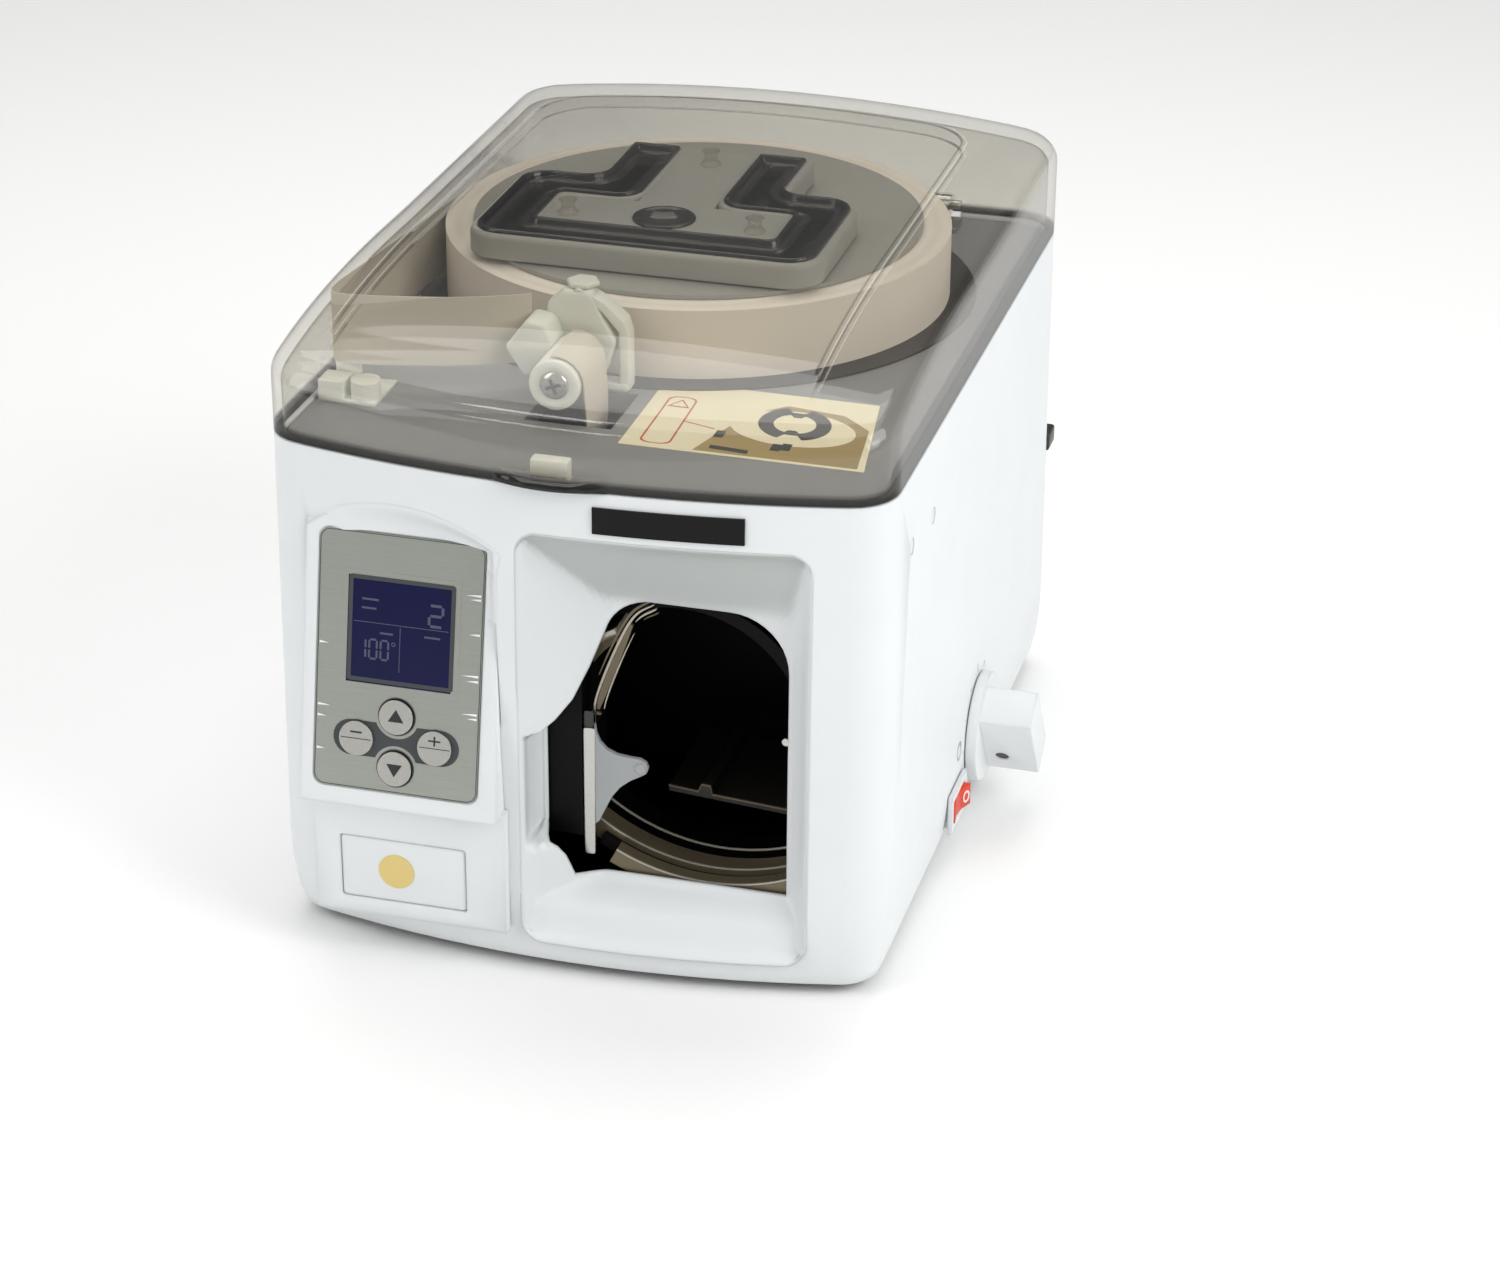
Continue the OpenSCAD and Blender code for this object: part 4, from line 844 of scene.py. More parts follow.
def build_gleams():
    """Painted highlights and reflections: chrome and bronze streaks that follow the curve from the stop up
    to the top of the track, thin at both ends.
    """
    knots = ((3.2, 72.6), (3.4, 77.5), (7.6, 89.5), (12.4, 100.5), (15.6, 105), (20.2, 107.6))
    path = [Vector(p) for p in knots]
    for _ in range(3):
        cut = [a.lerp(b, t) for a, b in zip(path, path[1:]) for t in (0.25, 0.75)]
        path = [path[0], *cut, path[-1]]
    count = len(path) - 1
    for i, (o0, o1, t0, t1, y0, finish) in enumerate((
        (0.6, 1.3, 0.0, 1.0, 5.2, "worn_chrome"),
        (1.3, 3.4, 0.12, 0.62, 5.6, "bronze"),
        (3.4, 3.8, 0.15, 0.58, 5.4, "worn_chrome"),
        (-0.6, 0.2, 0.35, 1.0, 5.6, "bronze"),
        (2.0, 2.5, 0.66, 1.0, 5.5, "worn_chrome"),
        (3.2, 3.5, 0.74, 1.0, 5.5, "bronze"),
        (1.2, 2.6, 0.0, 0.08, 5.6, "bronze"),
    )):
        part = path[round(t0 * count):round(t1 * count) + 1]
        sides = []
        for offset in (o0, o1):
            side = []
            for k, (x, z) in enumerate(part):
                along = (part[min(k + 1, len(part) - 1)] - part[max(k - 1, 0)]).normalized()
                taper = 0.35 + 0.65 * sin(pi * (k + 0.5) / len(part))
                shift = o0 + (offset - o0) * taper
                side.append((x + along.y * shift, z - along.x * shift))
            sides.append(side)
        prism(f"bay_gleam_{i}", sides[0] + sides[1][::-1], y0, y0 + 1.0, finish)


def build_stop():
    """The worn steel strip with its black tip, and the finger with its raised bead."""
    edge = rounded_rect(1.6, 4.6, 31.5, 69.5, 0.7, 3)
    worn = [(x + 0.12 * sin(z * 2.3) * (x > 3), z) for x, z in edge]
    strip = prism("stop_strip", worn, 3.3, 4.8, "plated")
    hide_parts("stop_plate")
    tip = prism("stop_strip_tip", rounded_rect(1.8, 4.4, 69.7, 74.5, 0.6, 3), 3.4, 4.8, "black_gloss")
    finger = [
        (4.6, 71), (5.0, 68), (6.0, 65.6), (7.8, 63.7), (10.5, 62.5), (14, 62.1),
        (17, 62), (18.6, 61.2), (19.3, 59.6), (18.8, 58), (17, 56.8), (14.3, 55.2),
        (11.5, 52.8), (9.2, 49.6), (7.2, 45.4), (5.6, 41.8), (4.6, 41),
    ]
    made = prism("finger_plate", finger, 3.4, 4.8, "grey_clear", 30)
    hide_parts("tape_finger")
    prism("finger_bead", circle(17.2, 59.3, 1.5, 24), 3.1, 4.9, "grey_clear")


def build_bay_works():
    """The shelf with its bright edge, a screw and a bracket, deep in the bay."""
    shelf = [(19, 44), (27, 43.2), (28, 45.5), (31, 45.3), (31.5, 42.8), (57, 41), (57, 39.6), (19, 42.4)]
    prism("bay_shelf", shelf, 24, 60, "dark_plastic")
    edge = [
        (19, 44.5), (27.2, 43.7), (28.2, 46), (30.8, 45.8), (31.4, 43.3), (57, 41.5),
        (57, 41), (31.3, 42.8), (30.6, 45.3), (28.4, 45.5), (27.4, 43.2), (19, 44),
    ]
    prism("bay_shelf_edge", edge, 23.6, 24.2, "bronze")
    prism("bay_screw", circle(56.6, 72.5, 1.1, 24), 4.2, 6.5, "plated")
    bracket = [(14, 100), (20, 90), (26, 96), (29, 92), (31, 96), (26, 104), (18, 107)]
    prism("bay_bracket", bracket, 40, 41.5, "motor")


build_window_frame()
build_track()
build_gleams()
build_stop()
build_bay_works()

# ---------------- control panel

TILT = radians(11)
PANEL_X, PANEL_Y, PANEL_Z = -44, -5, 122.8  # the middle of the panel's top edge
PANEL_HALF, PANEL_FOOT = 22.9, 49


def on_panel(u, n, v):
    """A point of the leaning panel: u to the right, n outwards, v up its slope."""
    c, s = cos(TILT), sin(TILT)
    return (PANEL_X + u, PANEL_Y - n * c + v * s, PANEL_Z + n * s + v * c)


def plates(name, shapes, at, finish, body="body"):
    """Thin shapes that lie on a surface; a shape is an outline, or an outer and an inner one for a line."""
    points, faces = [], []
    for shape in shapes:
        rings = shape if isinstance(shape, tuple) else (shape,)
        layers = [[at(u, v, top) for u, v in ring] for ring in rings for top in (0, 1)]
        if len(rings) == 1:
            more, sides = tube_between(layers)
        else:
            more, sides = ring_solid([layers[0], layers[1], layers[3], layers[2]])
        faces += [tuple(i + len(points) for i in f) for f in sides]
        points += more
    piece(name, points, faces, finish, body, 30, 1e-9)


def printed(name, shapes, n0, n1, finish, body="body"):
    """Thin shapes on the leaning panel."""
    plates(name, shapes, lambda u, v, top: on_panel(u, n1 if top else n0, v), finish, body)


def framed(x0, x1, y0, y1, r, t):
    """A rectangular line of width t."""
    inner = rounded_rect(x0 + t, x1 - t, y0 + t, y1 - t, max(r - t, 0.05), 5)
    return rounded_rect(x0, x1, y0, y1, r, 5), inner


def round_line(u, v, r, t, n=40):
    """A circular line of width t."""
    return circle(u, v, r, n), circle(u, v, r - t, n)


# A seven-bar digit: the ends of each bar in a cell one wide and one high, and the bars of each sign.
SEGMENTS = {
    "a": (0, 1, 1, 1), "b": (1, 1, 1, 0.5), "c": (1, 0.5, 1, 0), "d": (0, 0, 1, 0),
    "e": (0, 0.5, 0, 0), "f": (0, 1, 0, 0.5), "g": (0, 0.5, 1, 0.5),
}
DIGITS = {"0": "abcdef", "1": "bc", "2": "abged"}


def digit(sign, u, v, w, h, t):
    """Outlines of one digit whose lower left corner is at u, v, with bars of width t."""
    out = []
    for name in DIGITS[sign]:
        x0, z0, x1, z1 = SEGMENTS[name]
        ax, az, bx, bz = u + x0 * w, v + z0 * h, u + x1 * w, v + z1 * h
        length = hypot(bx - ax, bz - az)
        dx, dz = (bx - ax) / length, (bz - az) / length
        ax, az, bx, bz = ax + dx * t * 0.6, az + dz * t * 0.6, bx - dx * t * 0.6, bz - dz * t * 0.6
        px, pz = -dz * t / 2, dx * t / 2
        tip = t / 2 * 0.6
        out.append([
            (ax - dx * tip, az - dz * tip), (ax + px, az + pz), (bx + px, bz + pz),
            (bx + dx * tip, bz + dz * tip), (bx - px, bz - pz), (ax - px, az - pz),
        ])
    return out


def build_cove():
    """The soft hollow where the bowed face rolls down to the top of the set-back panel."""
    x0, x1, low, arch = PANEL_X - PANEL_HALF - 4, PANEL_X + PANEL_HALF + 5.5, 104.0, 9.0
    middle, half, top = (x0 + x1) / 2, (x1 - x0) / 2, PANEL_Z + arch
    radius = (half * half + arch * arch) / (2 * arch)
    crown = degrees(asin(half / radius))
    heights = (low, low + 4, low + 8, low + 12)
    line = [(x1 - 2.6 * (z - PANEL_FOOT) / 82.8, z, -1.0, 0.0, 1.0) for z in heights]
    for k in range(41):
        a = radians(90 - crown * 0.985 + 2 * crown * 0.985 * k / 40)
        c, s = cos(a), sin(a)
        line.append((middle + radius * c, top - radius + radius * s, -c, -s, 1.0 + 1.6 * sin(pi * k / 40)))
    line += [(x0, z, 1.0, 0.0, 1.0) for z in reversed(heights)]
    rings = []
    for into, share in (
        (-0.9, 0.0), (-0.3, 0.0), (0.3, 0.08), (0.9, 0.3), (1.5, 0.58), (2.1, 0.8), (2.7, 0.93), (3.2, 1.0)
    ):
        ring = []
        for x, z, nx, nz, wide in line:
            reach = into * wide if into > 0 else into
            px, pz = x + nx * reach, z + nz * reach
            front = face_y(px, pz) - 0.06
            plane = PANEL_Y + (pz - PANEL_Z) * tan(TILT) - 0.04
            ring.append((px, front + (max(plane, front) - front) * share, pz))
        rings.append(ring)
    count = len(line)
    points = [p for ring in rings for p in ring]
    faces = [
        (k * count + i, k * count + i + 1, (k + 1) * count + i + 1, (k + 1) * count + i)
        for k in range(len(rings) - 1) for i in range(count - 1)
    ]
    piece("bezel_cove", points, faces, "shell", "body", 50)


def build_panel():
    """Printing on the metal overlay, the display's picture and the signs on the keys."""
    keys_v, apart = -56.0, 7.1
    high, low = keys_v + apart, keys_v - apart
    waist = (
        arc(-12.6, keys_v, 4.9, 90, 270, 14)
        + arc(0, low, 6.1, 158, 22, 16)
        + arc(12.6, keys_v, 4.9, -90, 90, 14)
        + arc(0, high, 6.1, -22, -158, 16)
    )
    printed("overlay_border", [framed(-22.6, 22.6, -69.8, -0.2, 2.8, 0.22)], 0.0, 0.05, "print_dark")
    printed("key_field", [waist], 0.0, 0.04, "print_dark")
    printed("key_rings", [round_line(0, v, 5.25, 0.3) for v in (high, low)], 0.0, 0.05, "print_dark")
    inner = rounded_rect(-13.15, 13.95, -39.25, -12.75, 0.3, 5)
    middle = rounded_rect(-13.15 - 1.1, 13.95 + 1.1, -39.25 - 1.1, -12.75 + 1.1, 0.8, 5)
    outer = rounded_rect(-16.4, 16.6, -42.4, -10.2, 0.8, 5)
    printed("display_surround", [(middle, inner)], -0.2, 0.16, "print_dark")
    printed("display_margin", [(outer, middle)], -0.2, 0.06, "overlay")
    lcd = [bar(-12.6, 13.4, -24.05, -24.25), bar(0.05, 0.25, -24.5, -36.8)]
    lcd += digit("2", 8.0, -23.2, 3.7, 5.6, 0.75)
    for i, sign in enumerate("100"):
        lcd += digit(sign, -11.4 + 3.15 * i, -33.9, 2.1, 5.2, 0.55)
    lcd.append(round_line(-1.6, -29.4, 0.6, 0.25, 16))
    for u, v, w in ((-10.6, -18.2, 4.6), (-10.6, -20.6, 4.0), (-5.4, -27.0, 3.6), (6.8, -26.6, 4.4)):
        lcd.append(bar(u, u + w, v, v + 0.55))
    printed("display_picture", lcd, 0.1, 0.14, "segment")
    rule = bar(-4.2, 4.2, -0.1, 0.12)
    plus = [
        (-1.7, 1.8), (-0.25, 1.8), (-0.25, 0.7), (0.25, 0.7), (0.25, 1.8), (1.7, 1.8),
        (1.7, 2.25), (0.25, 2.25), (0.25, 3.3), (-0.25, 3.3), (-0.25, 2.25), (-1.7, 2.25),
    ]
    for body, u, v, shapes in (
        ("key_left", -10.9, keys_v, [bar(-1.6, 1.6, 1.5, 2.0), rule]),
        ("key_right", 10.9, keys_v, [plus, rule]),
        ("key_top", 0, high, [[(-2.2, -1.3), (2.2, -1.3), (0, 2.2)]]),
        ("key_bottom", 0, low, [[(-2.2, 1.3), (0, -2.2), (2.2, 1.3)]]),
    ):
        shapes = [[(u + a, v + b) for a, b in shape] for shape in shapes]
        printed(body + "_sign", shapes, 0.9, 0.94, "print_line", body)
    # painted highlights: pale wedges at the overlay's edges, where its film is creased
    crease_glints = []
    for side, marks in (
        (1, (
            (-13.5, 4.2), (-14.6, 3.0), (-24, 3.0), (-35.2, 4.6), (-36.6, 3.2), (-45.6, 4.2), (-46.8, 2.6),
        )),
        (-1, ((-31, 2.6), (-48, 3.4), (-51, 2.4), (-60, 2.2))),
    ):
        x = side * 22.0
        for v, size in marks:
            shares = ((0, 0.35), (0.55, 0.16), (1, -0.1), (0.5, -0.16), (0, -0.3))
            crease_glints.append([(x - side * size * share, v + up) for share, up in shares])
    printed("film_crease_glints", crease_glints, 0.05, 0.22, "film")


build_cove()
build_panel()

# ---------------- under the lid

# The roll holder's ribbon: its middle and half width, its front, the back of its bar, the end of its
# arms, the half distance between the arms' middles, and the ribbon's own width and levels.
MIDDLE, HALF, FRONT, BAR_BACK, ARM_END, PITCH, RIBBON = -9.0, 50.5, 88.0, 144.0, 175.0, 19.0, 18.0
HOLDER_TOP, HOLDER_FOOT = 171.9, 165.0


def ribbon(e):
    """Outline of the holder's ribbon, shrunk by e on every side."""
    xo, xi = HALF - e, HALF - RIBBON + e
    ao, ai = PITCH + RIBBON / 2 - e, PITCH - RIBBON / 2 + e
    y0, y1 = FRONT + e, FRONT + RIBBON - e
    k1, k0, ye = BAR_BACK - e, BAR_BACK - RIBBON + e, ARM_END - e
    right = [(xo, y0, 10 - e), (xo, k1, 10 - e), (ao, k1, 5 + e), (ao, ye, 0.6)]
    inner = [(ai, ye, 0.6), (ai, k0, 9 - e), (xi, k0, 1.6 + e / 2), (xi, y1, 1.6 + e / 2)]
    mirrored = [(-x, y, r) for x, y, r in reversed(right + inner)]
    return [(x + MIDDLE, y) for x, y in smoothed(right + inner + mirrored)]


def build_holder():
    """The roll holder: a grey block, a glossy black channel with a lip round it, and a black dish."""
    top, foot = HOLDER_TOP, HOLDER_FOOT
    xi, ai = HALF - RIBBON, PITCH - RIBBON / 2
    y1, k0, ye = FRONT + RIBBON, BAR_BACK - RIBBON, ARM_END

    def along_ribbon(profile):
        return [[(x, y, z) for x, y in ribbon(e)] for e, z in profile]

    def from_top(profile):
        return [(r, top + z) for r, z in profile]

    outside = [
        (0, foot), (0, top - 1.6), (0.25, top - 0.8), (0.8, top - 0.25),
        (1.6, top), (2.0, top), (2.2, foot + 0.2),
    ]
    block = solid("holder_block", along_ribbon(outside), "holder_grey", "lid", 40)
    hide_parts("roll_holder")
    field = [(xi, y1), (xi, k0), (ai, k0), (ai, ye - 1), (-ai, ye - 1), (-ai, k0), (-xi, k0), (-xi, y1)]
    grow = {y1: -1, k0: 1}
    field = [(x + MIDDLE + (1 if x > 0 else -1), y + grow.get(y, 0)) for x, y in field]
    made = solid("holder_field", levels(field, foot, top - 0.35), "holder_grey", None, 30)
    centre = (MIDDLE, y1 + 9.2)
    carve(made, "lid", "holder_grey", 30, turned(from_top([(8.7, -2.9), (8.7, 3)]), centre, 45, "z"))
    lips = from_top([
        (2.05, -6.6), (1.95, -0.3), (1.95, 0.35), (2.15, 0.85), (2.6, 1.1),
        (3.1, 0.95), (3.45, 0.4), (3.6, -0.6), (3.9, -1.2), (5.0, -1.3),
        (5.4, -1.1), (5.7, -0.7), (6.1, -0.7), (6.4, -1.2), (6.6, -6.3),
    ])
    trim = solid("holder_trim", along_ribbon(lips), "black_gloss", "lid", 60)
    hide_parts("holder_channel")
    peg = from_top([(3.0, -0.6), (3.0, 0.2), (2.0, 0.9), (1.8, 3.0), (2.6, 3.75)])
    for i, (x, y) in enumerate(((-27, y1 + 6), (27, y1 + 6), (0, ye - 12))):
        solid(f"holder_peg_{i}", turned(peg, (MIDDLE + x, y), 24, "z"), "smoky", "lid", 40)
    hollow = from_top([
        (8.6, -2.8), (8.9, 0.1), (8.6, 0.4), (8.0, 0.5), (7.4, 0.35),
        (6.8, -0.2), (5.8, -1.0), (4.2, -1.7), (2.2, -2.1), (0.4, -2.2),
    ])
    dish = solid("holder_dish", turned(hollow, centre, 45, "z"), "black_gloss", "lid", 60)
    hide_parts("holder_dome")


ROCKER = {"x": 83.0, "y": 87.0, "z": 16.0, "half": 6.6, "tilt": 14.0}


def build_side_controls():
    """The knob with its rounded grip, and the rocker with a plain white ring sign."""
    rounded_copy("adjust_knob", 1.5, 3)
    rounded_copy("power_rocker", 0.5, 2)
    rounded_copy("rocker_body", 0.4, 2)
    lean = radians(ROCKER["tilt"] / 2)

    def on_rocker(u, v, top):
        half = ROCKER["half"]
        y = 0.64 * half + u
        x = 3.4 + 1.2 * (y / half - 0.3) / 0.7 + 0.05 + 0.12 * top
        return (
            ROCKER["x"] + x * cos(lean) + y * sin(lean),
            ROCKER["y"] - x * sin(lean) + y * cos(lean),
            ROCKER["z"] + v,
        )

    oval = [[(x, 1.25 * y) for x, y in circle(0, 0, r, 24)] for r in (1.5, 1.0)]
    plates("rocker_sign", [tuple(oval)], on_rocker, "print_white", "rocker")
    ticks = [spoke(KNOB_AXIS, -60 + 30 * k, 17.2, 17.2 + (1.6 if k % 5 else 2.6), 0.3) for k in range(11)]
    plates("knob_ticks", ticks, lambda u, v, top: (84.6 + 0.45 * top, u, v), "shell")
    cap = [(3.2, 84.2), (3.2, 84.75), (2.9, 85.0), (2.3, 85.02), (1.2, 84.92), (0.2, 84.9)]
    solid("side_plug", turned(cap, (91, 30), 36, "x"), "key_metal", "body", 40)
    soft_prism("rear_lug", rounded_rect(74, 84.9, 72.5, 78, 0.8, 3), 212, 220.5, "dark_plastic", soft=0.4)


def build_painted_roll_shadow():
    """A dark ring on the deck round the turntable, cut off at the left wall: painted shadow under the roll.
    """
    wall_x = -80.3
    profile = [(60, 143.02), (79.4, 143.02), (79.6, 143.25), (79.2, 143.5), (60, 143.5)]
    rings = [[(max(x, wall_x), y, z) for x, y, z in ring] for ring in turned(profile, ROLL_AXIS, 120, "z")]
    # painted shadow: a dark ring under the roll
    piece("painted_roll_shadow", *ring_solid(rings), "dark_plastic", "body", 30)


def build_guide():
    """The nylon tape guide: a lobed block with a hexagon cap, its arm, and the roller with its screw."""
    lobe = smoothed([
        (-33.4, 156.4, 1.6), (-27.3, 164.6, 2.0), (-21.5, 163.8, 3.0),
        (-19.5, 158.0, 2.0), (-25.4, 148.8, 1.5), (-28.2, 148.9, 1.2),
    ])
    soft_prism("guide_lobe", lobe, 47, 58, "nylon", soft=1.2)
    body = smoothed([
        (-24.4, 166.5, 2), (-20.2, 170.4, 1.5), (-12.4, 170.6, 1.5), (-8.8, 163.5, 3), (-5.0, 157, 3),
        (-8.6, 147.2, 3), (-21, 147.2, 2), (-26, 156, 3),
    ])
    made = soft_prism("guide_body", body, 57, 62.5, "nylon", soft=1.4)
    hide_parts("guide_block")
    cap = [(0.72, 169.5), (0.72, 170.6), (1, 170.8), (1, 171.7), (0.9, 172)]
    hexagon = turned([(4.6 * k, z) for k, z in cap], (-15.9, 62.5), 6, "z")
    solid("guide_cap", hexagon, "nylon", "body", 25)
    arm = smoothed([
        (-17.5, 169.2, 0), (-16.5, 171.4, 1), (-8.7, 167.9, 4), (-3.1, 163.0, 3), (-1.9, 159, 2),
        (-1.9, 143.2, 0), (-4.4, 143.2, 0), (-4.4, 159.6, 2), (-9.8, 165.6, 4),
    ])
    made = soft_prism("guide_arm", arm, 57.6, 63.5, "nylon", soft=0.5)
    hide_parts("guide_bracket")
    soft_prism("guide_foot", rounded_rect(-24, -2, DECK_TOP, 145.2, 0.8, 3), 57, 62.4, "nylon", soft=0.4)
    tyre = [
        (1.8, 33.4), (4.3, 33.4), (4.6, 33.2), (6.3, 33.0), (6.85, 33.3),
        (7.0, 34.0), (7.0, 53.6), (6.7, 54.3), (1.8, 54.4),
    ]
    made = piece("roller_tyre", *ring_solid(turned(tyre, GUIDE_AXIS, 48, "y")), "nylon", "roller", 40)
    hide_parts("guide_roller")
    head = [(4.1, 34.2), (4.1, 33.5), (3.6, 32.9), (2.6, 32.5), (1.2, 32.3), (0.3, 32.3)]
    made = solid("roller_screw_head", turned(head, GUIDE_AXIS, 36, "y"), "plated", "body", 40)
    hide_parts("roller_screw")
    cross = [spoke(GUIDE_AXIS, angle, -2.2, 2.2, 0.45) for angle in (20, 110)]
    plates("roller_screw_cross", cross, lambda u, v, top: (u, 32.45 - 0.17 * top, v), "print_line")


def build_tape():
    """The threaded tape: from the roll round the left post, slack to the guide, then down the slot."""
    on_roll, thick, low, high, lifted = 72.25, 0.35, 143.6, 163.3, 7.3
    path = [(ROLL_AXIS[0] - x, ROLL_AXIS[1] + y) for x, y in arc(0, 0, on_roll, 16, 0, 4)]
    path += [
        (-78.9, 90), (-79.35, 46), (-79.3, 41), (-78.4, 38.9), (-76.6, 37.9), (-74.0, 37.9),
        (-66, 39.6), (-57, 42.2), (-48, 45.2), (-40, 48.8), (-33.5, 52.6), (-28.5, 56.5),
    ]
    rings = []
    for k, (x, y) in enumerate(path):
        a, b = Vector(path[max(k - 1, 0)]), Vector(path[min(k + 1, len(path) - 1)])
        across = (b - a).normalized()
        nx, ny = -across.y * thick / 2, across.x * thick / 2
        sag = 1.2 * max(0.0, (k - 10) / 6)
        lift = lifted * min(max((k - 4) / 2, 0), 1)
        z0, z1 = low + lift - sag, high + lift - sag * 1.4
        near, far = (x + nx, y + ny), (x - nx, y - ny)
        rings.append([(*near, z0), (*far, z0), (*far, z1), (*near, z1)])
    made = solid("tape_run", rings, "strip", "body", 60)
    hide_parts("threaded_tape")
    rings = []
    steps, bend, over_roller = 16, 0.4, 7.5
    for k in range(steps + 1):
        t = k / steps
        if t < bend:
            a = radians(100 - 110 * t / bend)
            nx, nz = cos(a), sin(a)
            x, z = GUIDE_AXIS[0] + over_roller * nx, GUIDE_AXIS[1] + over_roller * nz
        else:
            u = (t - bend) / (1 - bend)
            nx, nz = 1.0, 0.0
            x, z = -7.6 + 0.7 * sin(pi * u), 151.7 - 22 * u
        y0, y1 = 34.6 + 1.5 * t, 54.6 - 0.8 * t
        out_x, out_z = x + nx * thick, z + nz * thick
        rings.append([(x, y0, z), (out_x, y0, out_z), (out_x, y1, out_z), (x, y1, z)])
    solid("tape_drop", rings, "strip", "body", 60)


def build_deck_label():
    """A cream film label on the deck with a plain diagram of the reel, posts and way of the tape."""
    # the front and the back corner of each end
    left, right = ((5.4, 23.7), (5.3, 68.3)), ((71.4, 23.1), (65.0, 67.1))

    def on_deck(low, high):
        def at(u, v, top):
            x, y = (
                (left[0][i] + (left[1][i] - left[0][i]) * v) * (1 - u)
                + (right[0][i] + (right[1][i] - right[0][i]) * v) * u
                for i in (0, 1)
            )
            return (x, y, DECK_TOP + (high if top else low))

        return at

    plates("deck_label", [bar(0, 1, 0, 1)], on_deck(0, 0.12), "label")
    scene = [(0.3, 0.03), (0.97, 0.03), (0.98, 0.6), (0.86, 0.78), (0.6, 0.83), (0.46, 0.66), (0.36, 0.3)]
    plates("label_scene", [scene], on_deck(0.12, 0.15), "print_tan")
    drum = [(0.66 + 0.27 * x, 0.5 + 0.26 * y) for x, y in circle(0, 0, 1, 36)]
    plates("label_drum", [drum], on_deck(0.15, 0.17), "label")
    reel = tuple(
        [
            (0.66 + 0.66 * x, 0.57 + y * (1 if k % 18 not in (8, 9, 10) else 0.7))
            for k, (x, y) in enumerate(circle(0, 0, r, 36))
        ]
        for r in (0.24, 0.14)
    )
    plates("label_reel", [reel], on_deck(0.17, 0.2), "print_line")
    post = ((-0.02, -0.05), (0.02, -0.05), (0.025, 0.05), (-0.015, 0.05))
    spots = [[(u + a, v + b) for a, b in post] for u, v in ((0.37, 0.3), (0.62, 0.2), (0.66, 0.22))]
    spots.append([(0.36, 0.08), (0.52, 0.06), (0.52, 0.11), (0.36, 0.13)])
    plates("label_posts", spots, on_deck(0.17, 0.2), "print_line")
    red = [
        framed(0.07, 0.2, 0.06, 0.78, 0.05, 0.008),
        ([(0.085, 0.62), (0.185, 0.62), (0.135, 0.74)], [(0.098, 0.635), (0.172, 0.635), (0.135, 0.72)]),
        [(0.2, 0.42), (0.34, 0.36), (0.34, 0.37), (0.2, 0.43)],
    ]
    plates("label_frame", red, on_deck(0.12, 0.16), "print_red")


build_side_controls()
build_holder()
build_painted_roll_shadow()
build_guide()
build_tape()
build_deck_label()
EDGES = {"panel_bezel": 0.9, "hatch_cover": 0.4, "lid_catch": 1.1, "guide_post_base": 0.7}
for node_name, width in EDGES.items():
    rounded_copy(node_name, width, 3)
smooth_shell = copied("housing", False)
finish_mesh(smooth_shell.data, 25)
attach(smooth_shell, BODY["housing"])
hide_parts("housing")

# ---------------- camera, floor and light

AZIMUTH, ELEVATION, ROLL = (radians(v) for v in (15.09, 26.25, 0.48))
AIM = place(47.84, 0.0, 101.93)
DISTANCE = 0.97103
FOCAL_PX, PICTURE_PX, SENSOR = 3784.7, 1500, 36.0


def add_camera():
    """The photograph's own viewpoint, fitted from the edges of the machine."""
    level = cos(ELEVATION)
    back = Vector((sin(AZIMUTH) * level, -cos(AZIMUTH) * level, sin(ELEVATION)))
    right = (-back).cross(Vector((0, 0, 1))).normalized()
    up = right.cross(-back)
    c, s = cos(ROLL), sin(ROLL)
    data = bpy.data.cameras.new("camera")
    data.sensor_width = SENSOR
    data.lens = FOCAL_PX * SENSOR / PICTURE_PX
    data.clip_start = 0.05
    made = shown("camera", data)
    turn = Matrix((right * c + up * s, up * c - right * s, back)).transposed().to_4x4()
    made.matrix_world = Matrix.Translation(AIM + back * DISTANCE) @ turn
    bpy.context.scene.camera = made


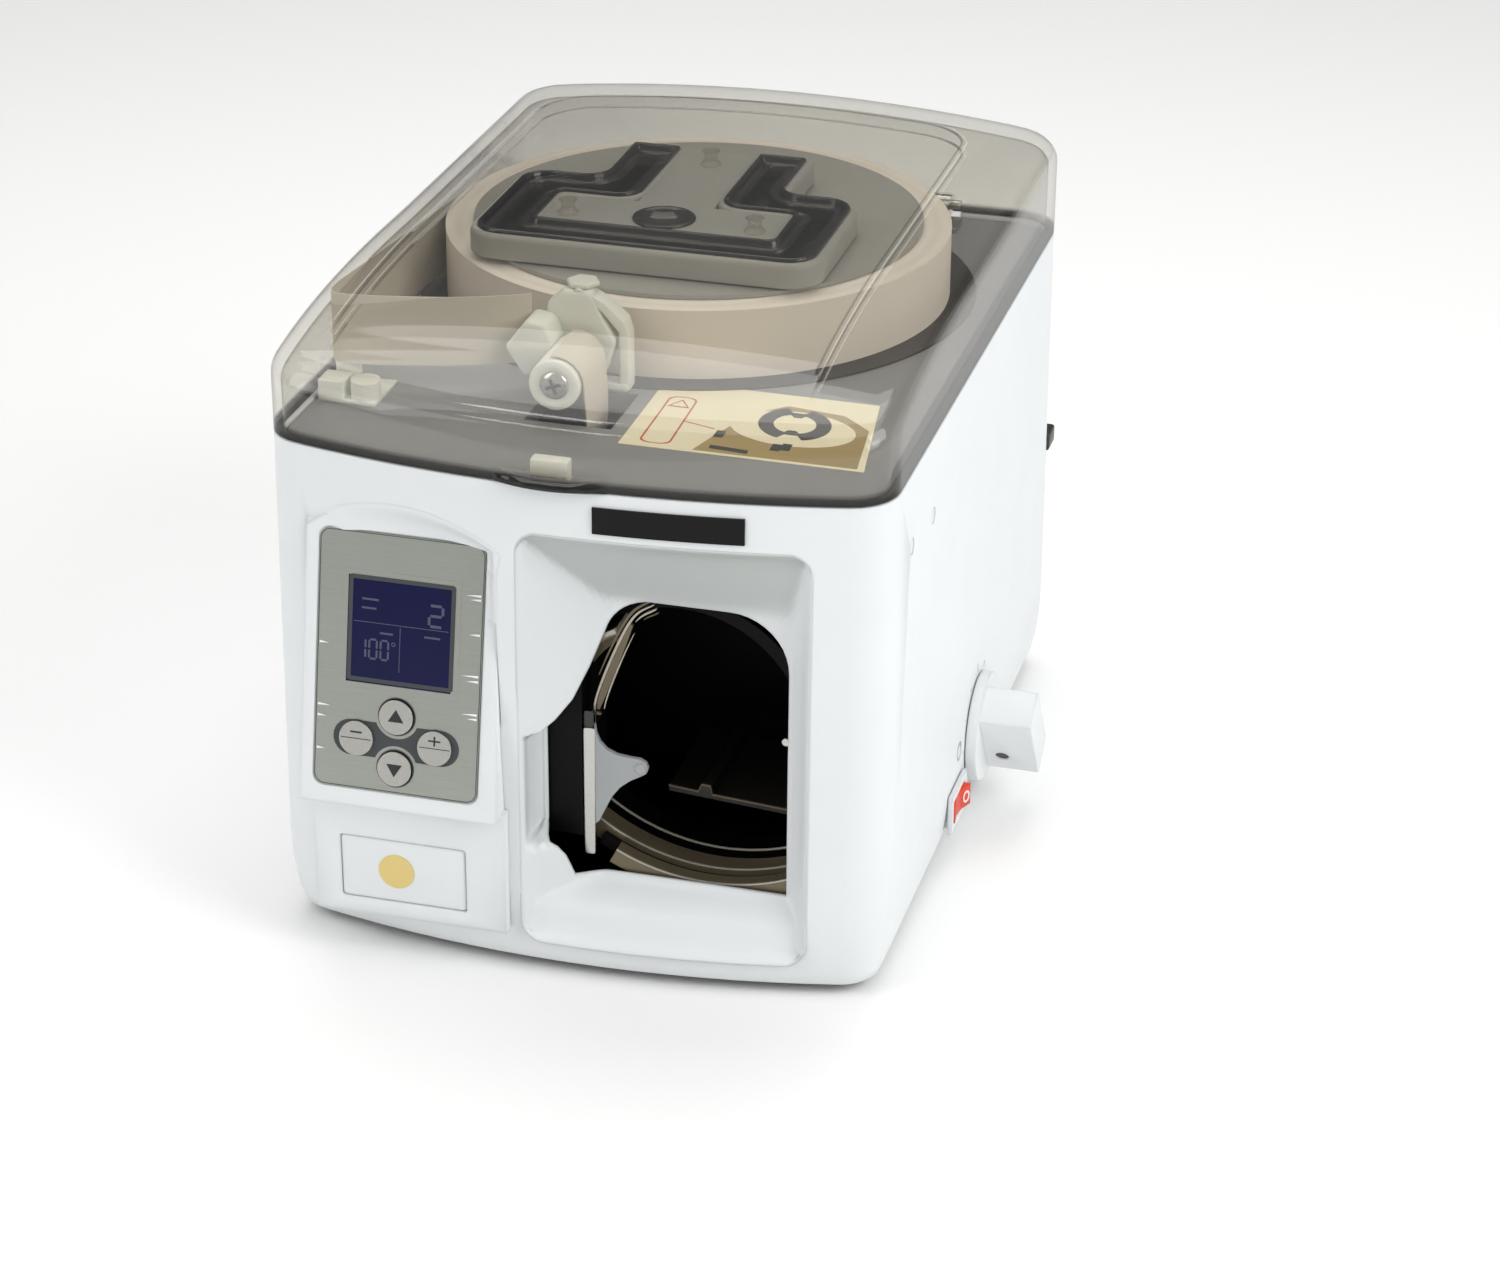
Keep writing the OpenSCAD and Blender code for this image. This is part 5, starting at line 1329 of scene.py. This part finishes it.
def add_floor():
    """A plain pale table top."""
    mesh = bpy.data.meshes.new("floor")
    mesh.from_pydata([(x, y, 0) for x, y in bar(-4.0, 4.0, -4.0, 4.0)], [], [(0, 1, 2, 3)])
    mesh.materials.append(coat(start("pale table")[0], {"Base Color": colour("FBFBFA"), "Roughness": 0.8}))
    shown("floor", mesh)


def add_lamp(name, at, size, watts, aim=(0.0, 0.0, 0.08)):
    """A soft box that faces the machine."""
    data = bpy.data.lights.new(name, "AREA")
    data.shape = "RECTANGLE"
    data.size, data.size_y = size
    data.energy = watts
    made = shown(name, data)
    made.location = at
    made.rotation_euler = (Vector(aim) - Vector(at)).to_track_quat("-Z", "Y").to_euler()


def add_world():
    """A pale surround: white to the eye, softer as light, and in gloss a room dim low at the back."""
    world = bpy.data.worlds.new("studio")
    bpy.context.scene.world = world
    world.use_nodes = True
    tree = world.node_tree
    tree.nodes.clear()
    path = add(tree, "ShaderNodeLightPath").outputs
    seen = maths("MAXIMUM", path["Is Camera Ray"], path["Is Transmission Ray"])
    ray = add(tree, "ShaderNodeNewGeometry").outputs["Incoming"]
    away = add(tree, "ShaderNodeVectorMath", {0: ray, "Scale": -1.0}, operation="SCALE").outputs["Vector"]
    x, y, z = split(away)
    room = maths("MAXIMUM", span(z, 0.25, 0.8, 0.1, 0.6), span(y, -0.6, 0.1, 0.5, 0.0))
    room = maths("MAXIMUM", room, span(x, 0.3, 0.85, 0.0, 0.9))
    glossy = path["Is Glossy Ray"]
    lit = add(tree, "ShaderNodeMix", {"Factor": glossy, "A": 0.5, "B": room}).outputs["Result"]
    strength = add(tree, "ShaderNodeMix", {"Factor": seen, "A": lit, "B": 1.0}).outputs["Result"]
    sky = add(tree, "ShaderNodeBackground", {"Color": (1, 1, 1, 1), "Strength": strength})
    add(tree, "ShaderNodeOutputWorld", {"Surface": sky.outputs["Background"]})


add_camera()
add_floor()
add_world()
add_lamp("key", (0.95, -0.4, 0.75), (0.7, 0.7), 7.5)
add_lamp("front left", (-0.75, -0.75, 0.65), (0.5, 0.8), 3.2)
add_lamp("strip", (-0.275, -0.46, 0.88), (0.17, 0.07), 0.3, (-0.055, -0.11, 0.165))
add_lamp("overhead", (-0.1, 0.35, 1.1), (0.9, 0.7), 5.0)
bpy.context.scene.view_settings.view_transform = "Standard"
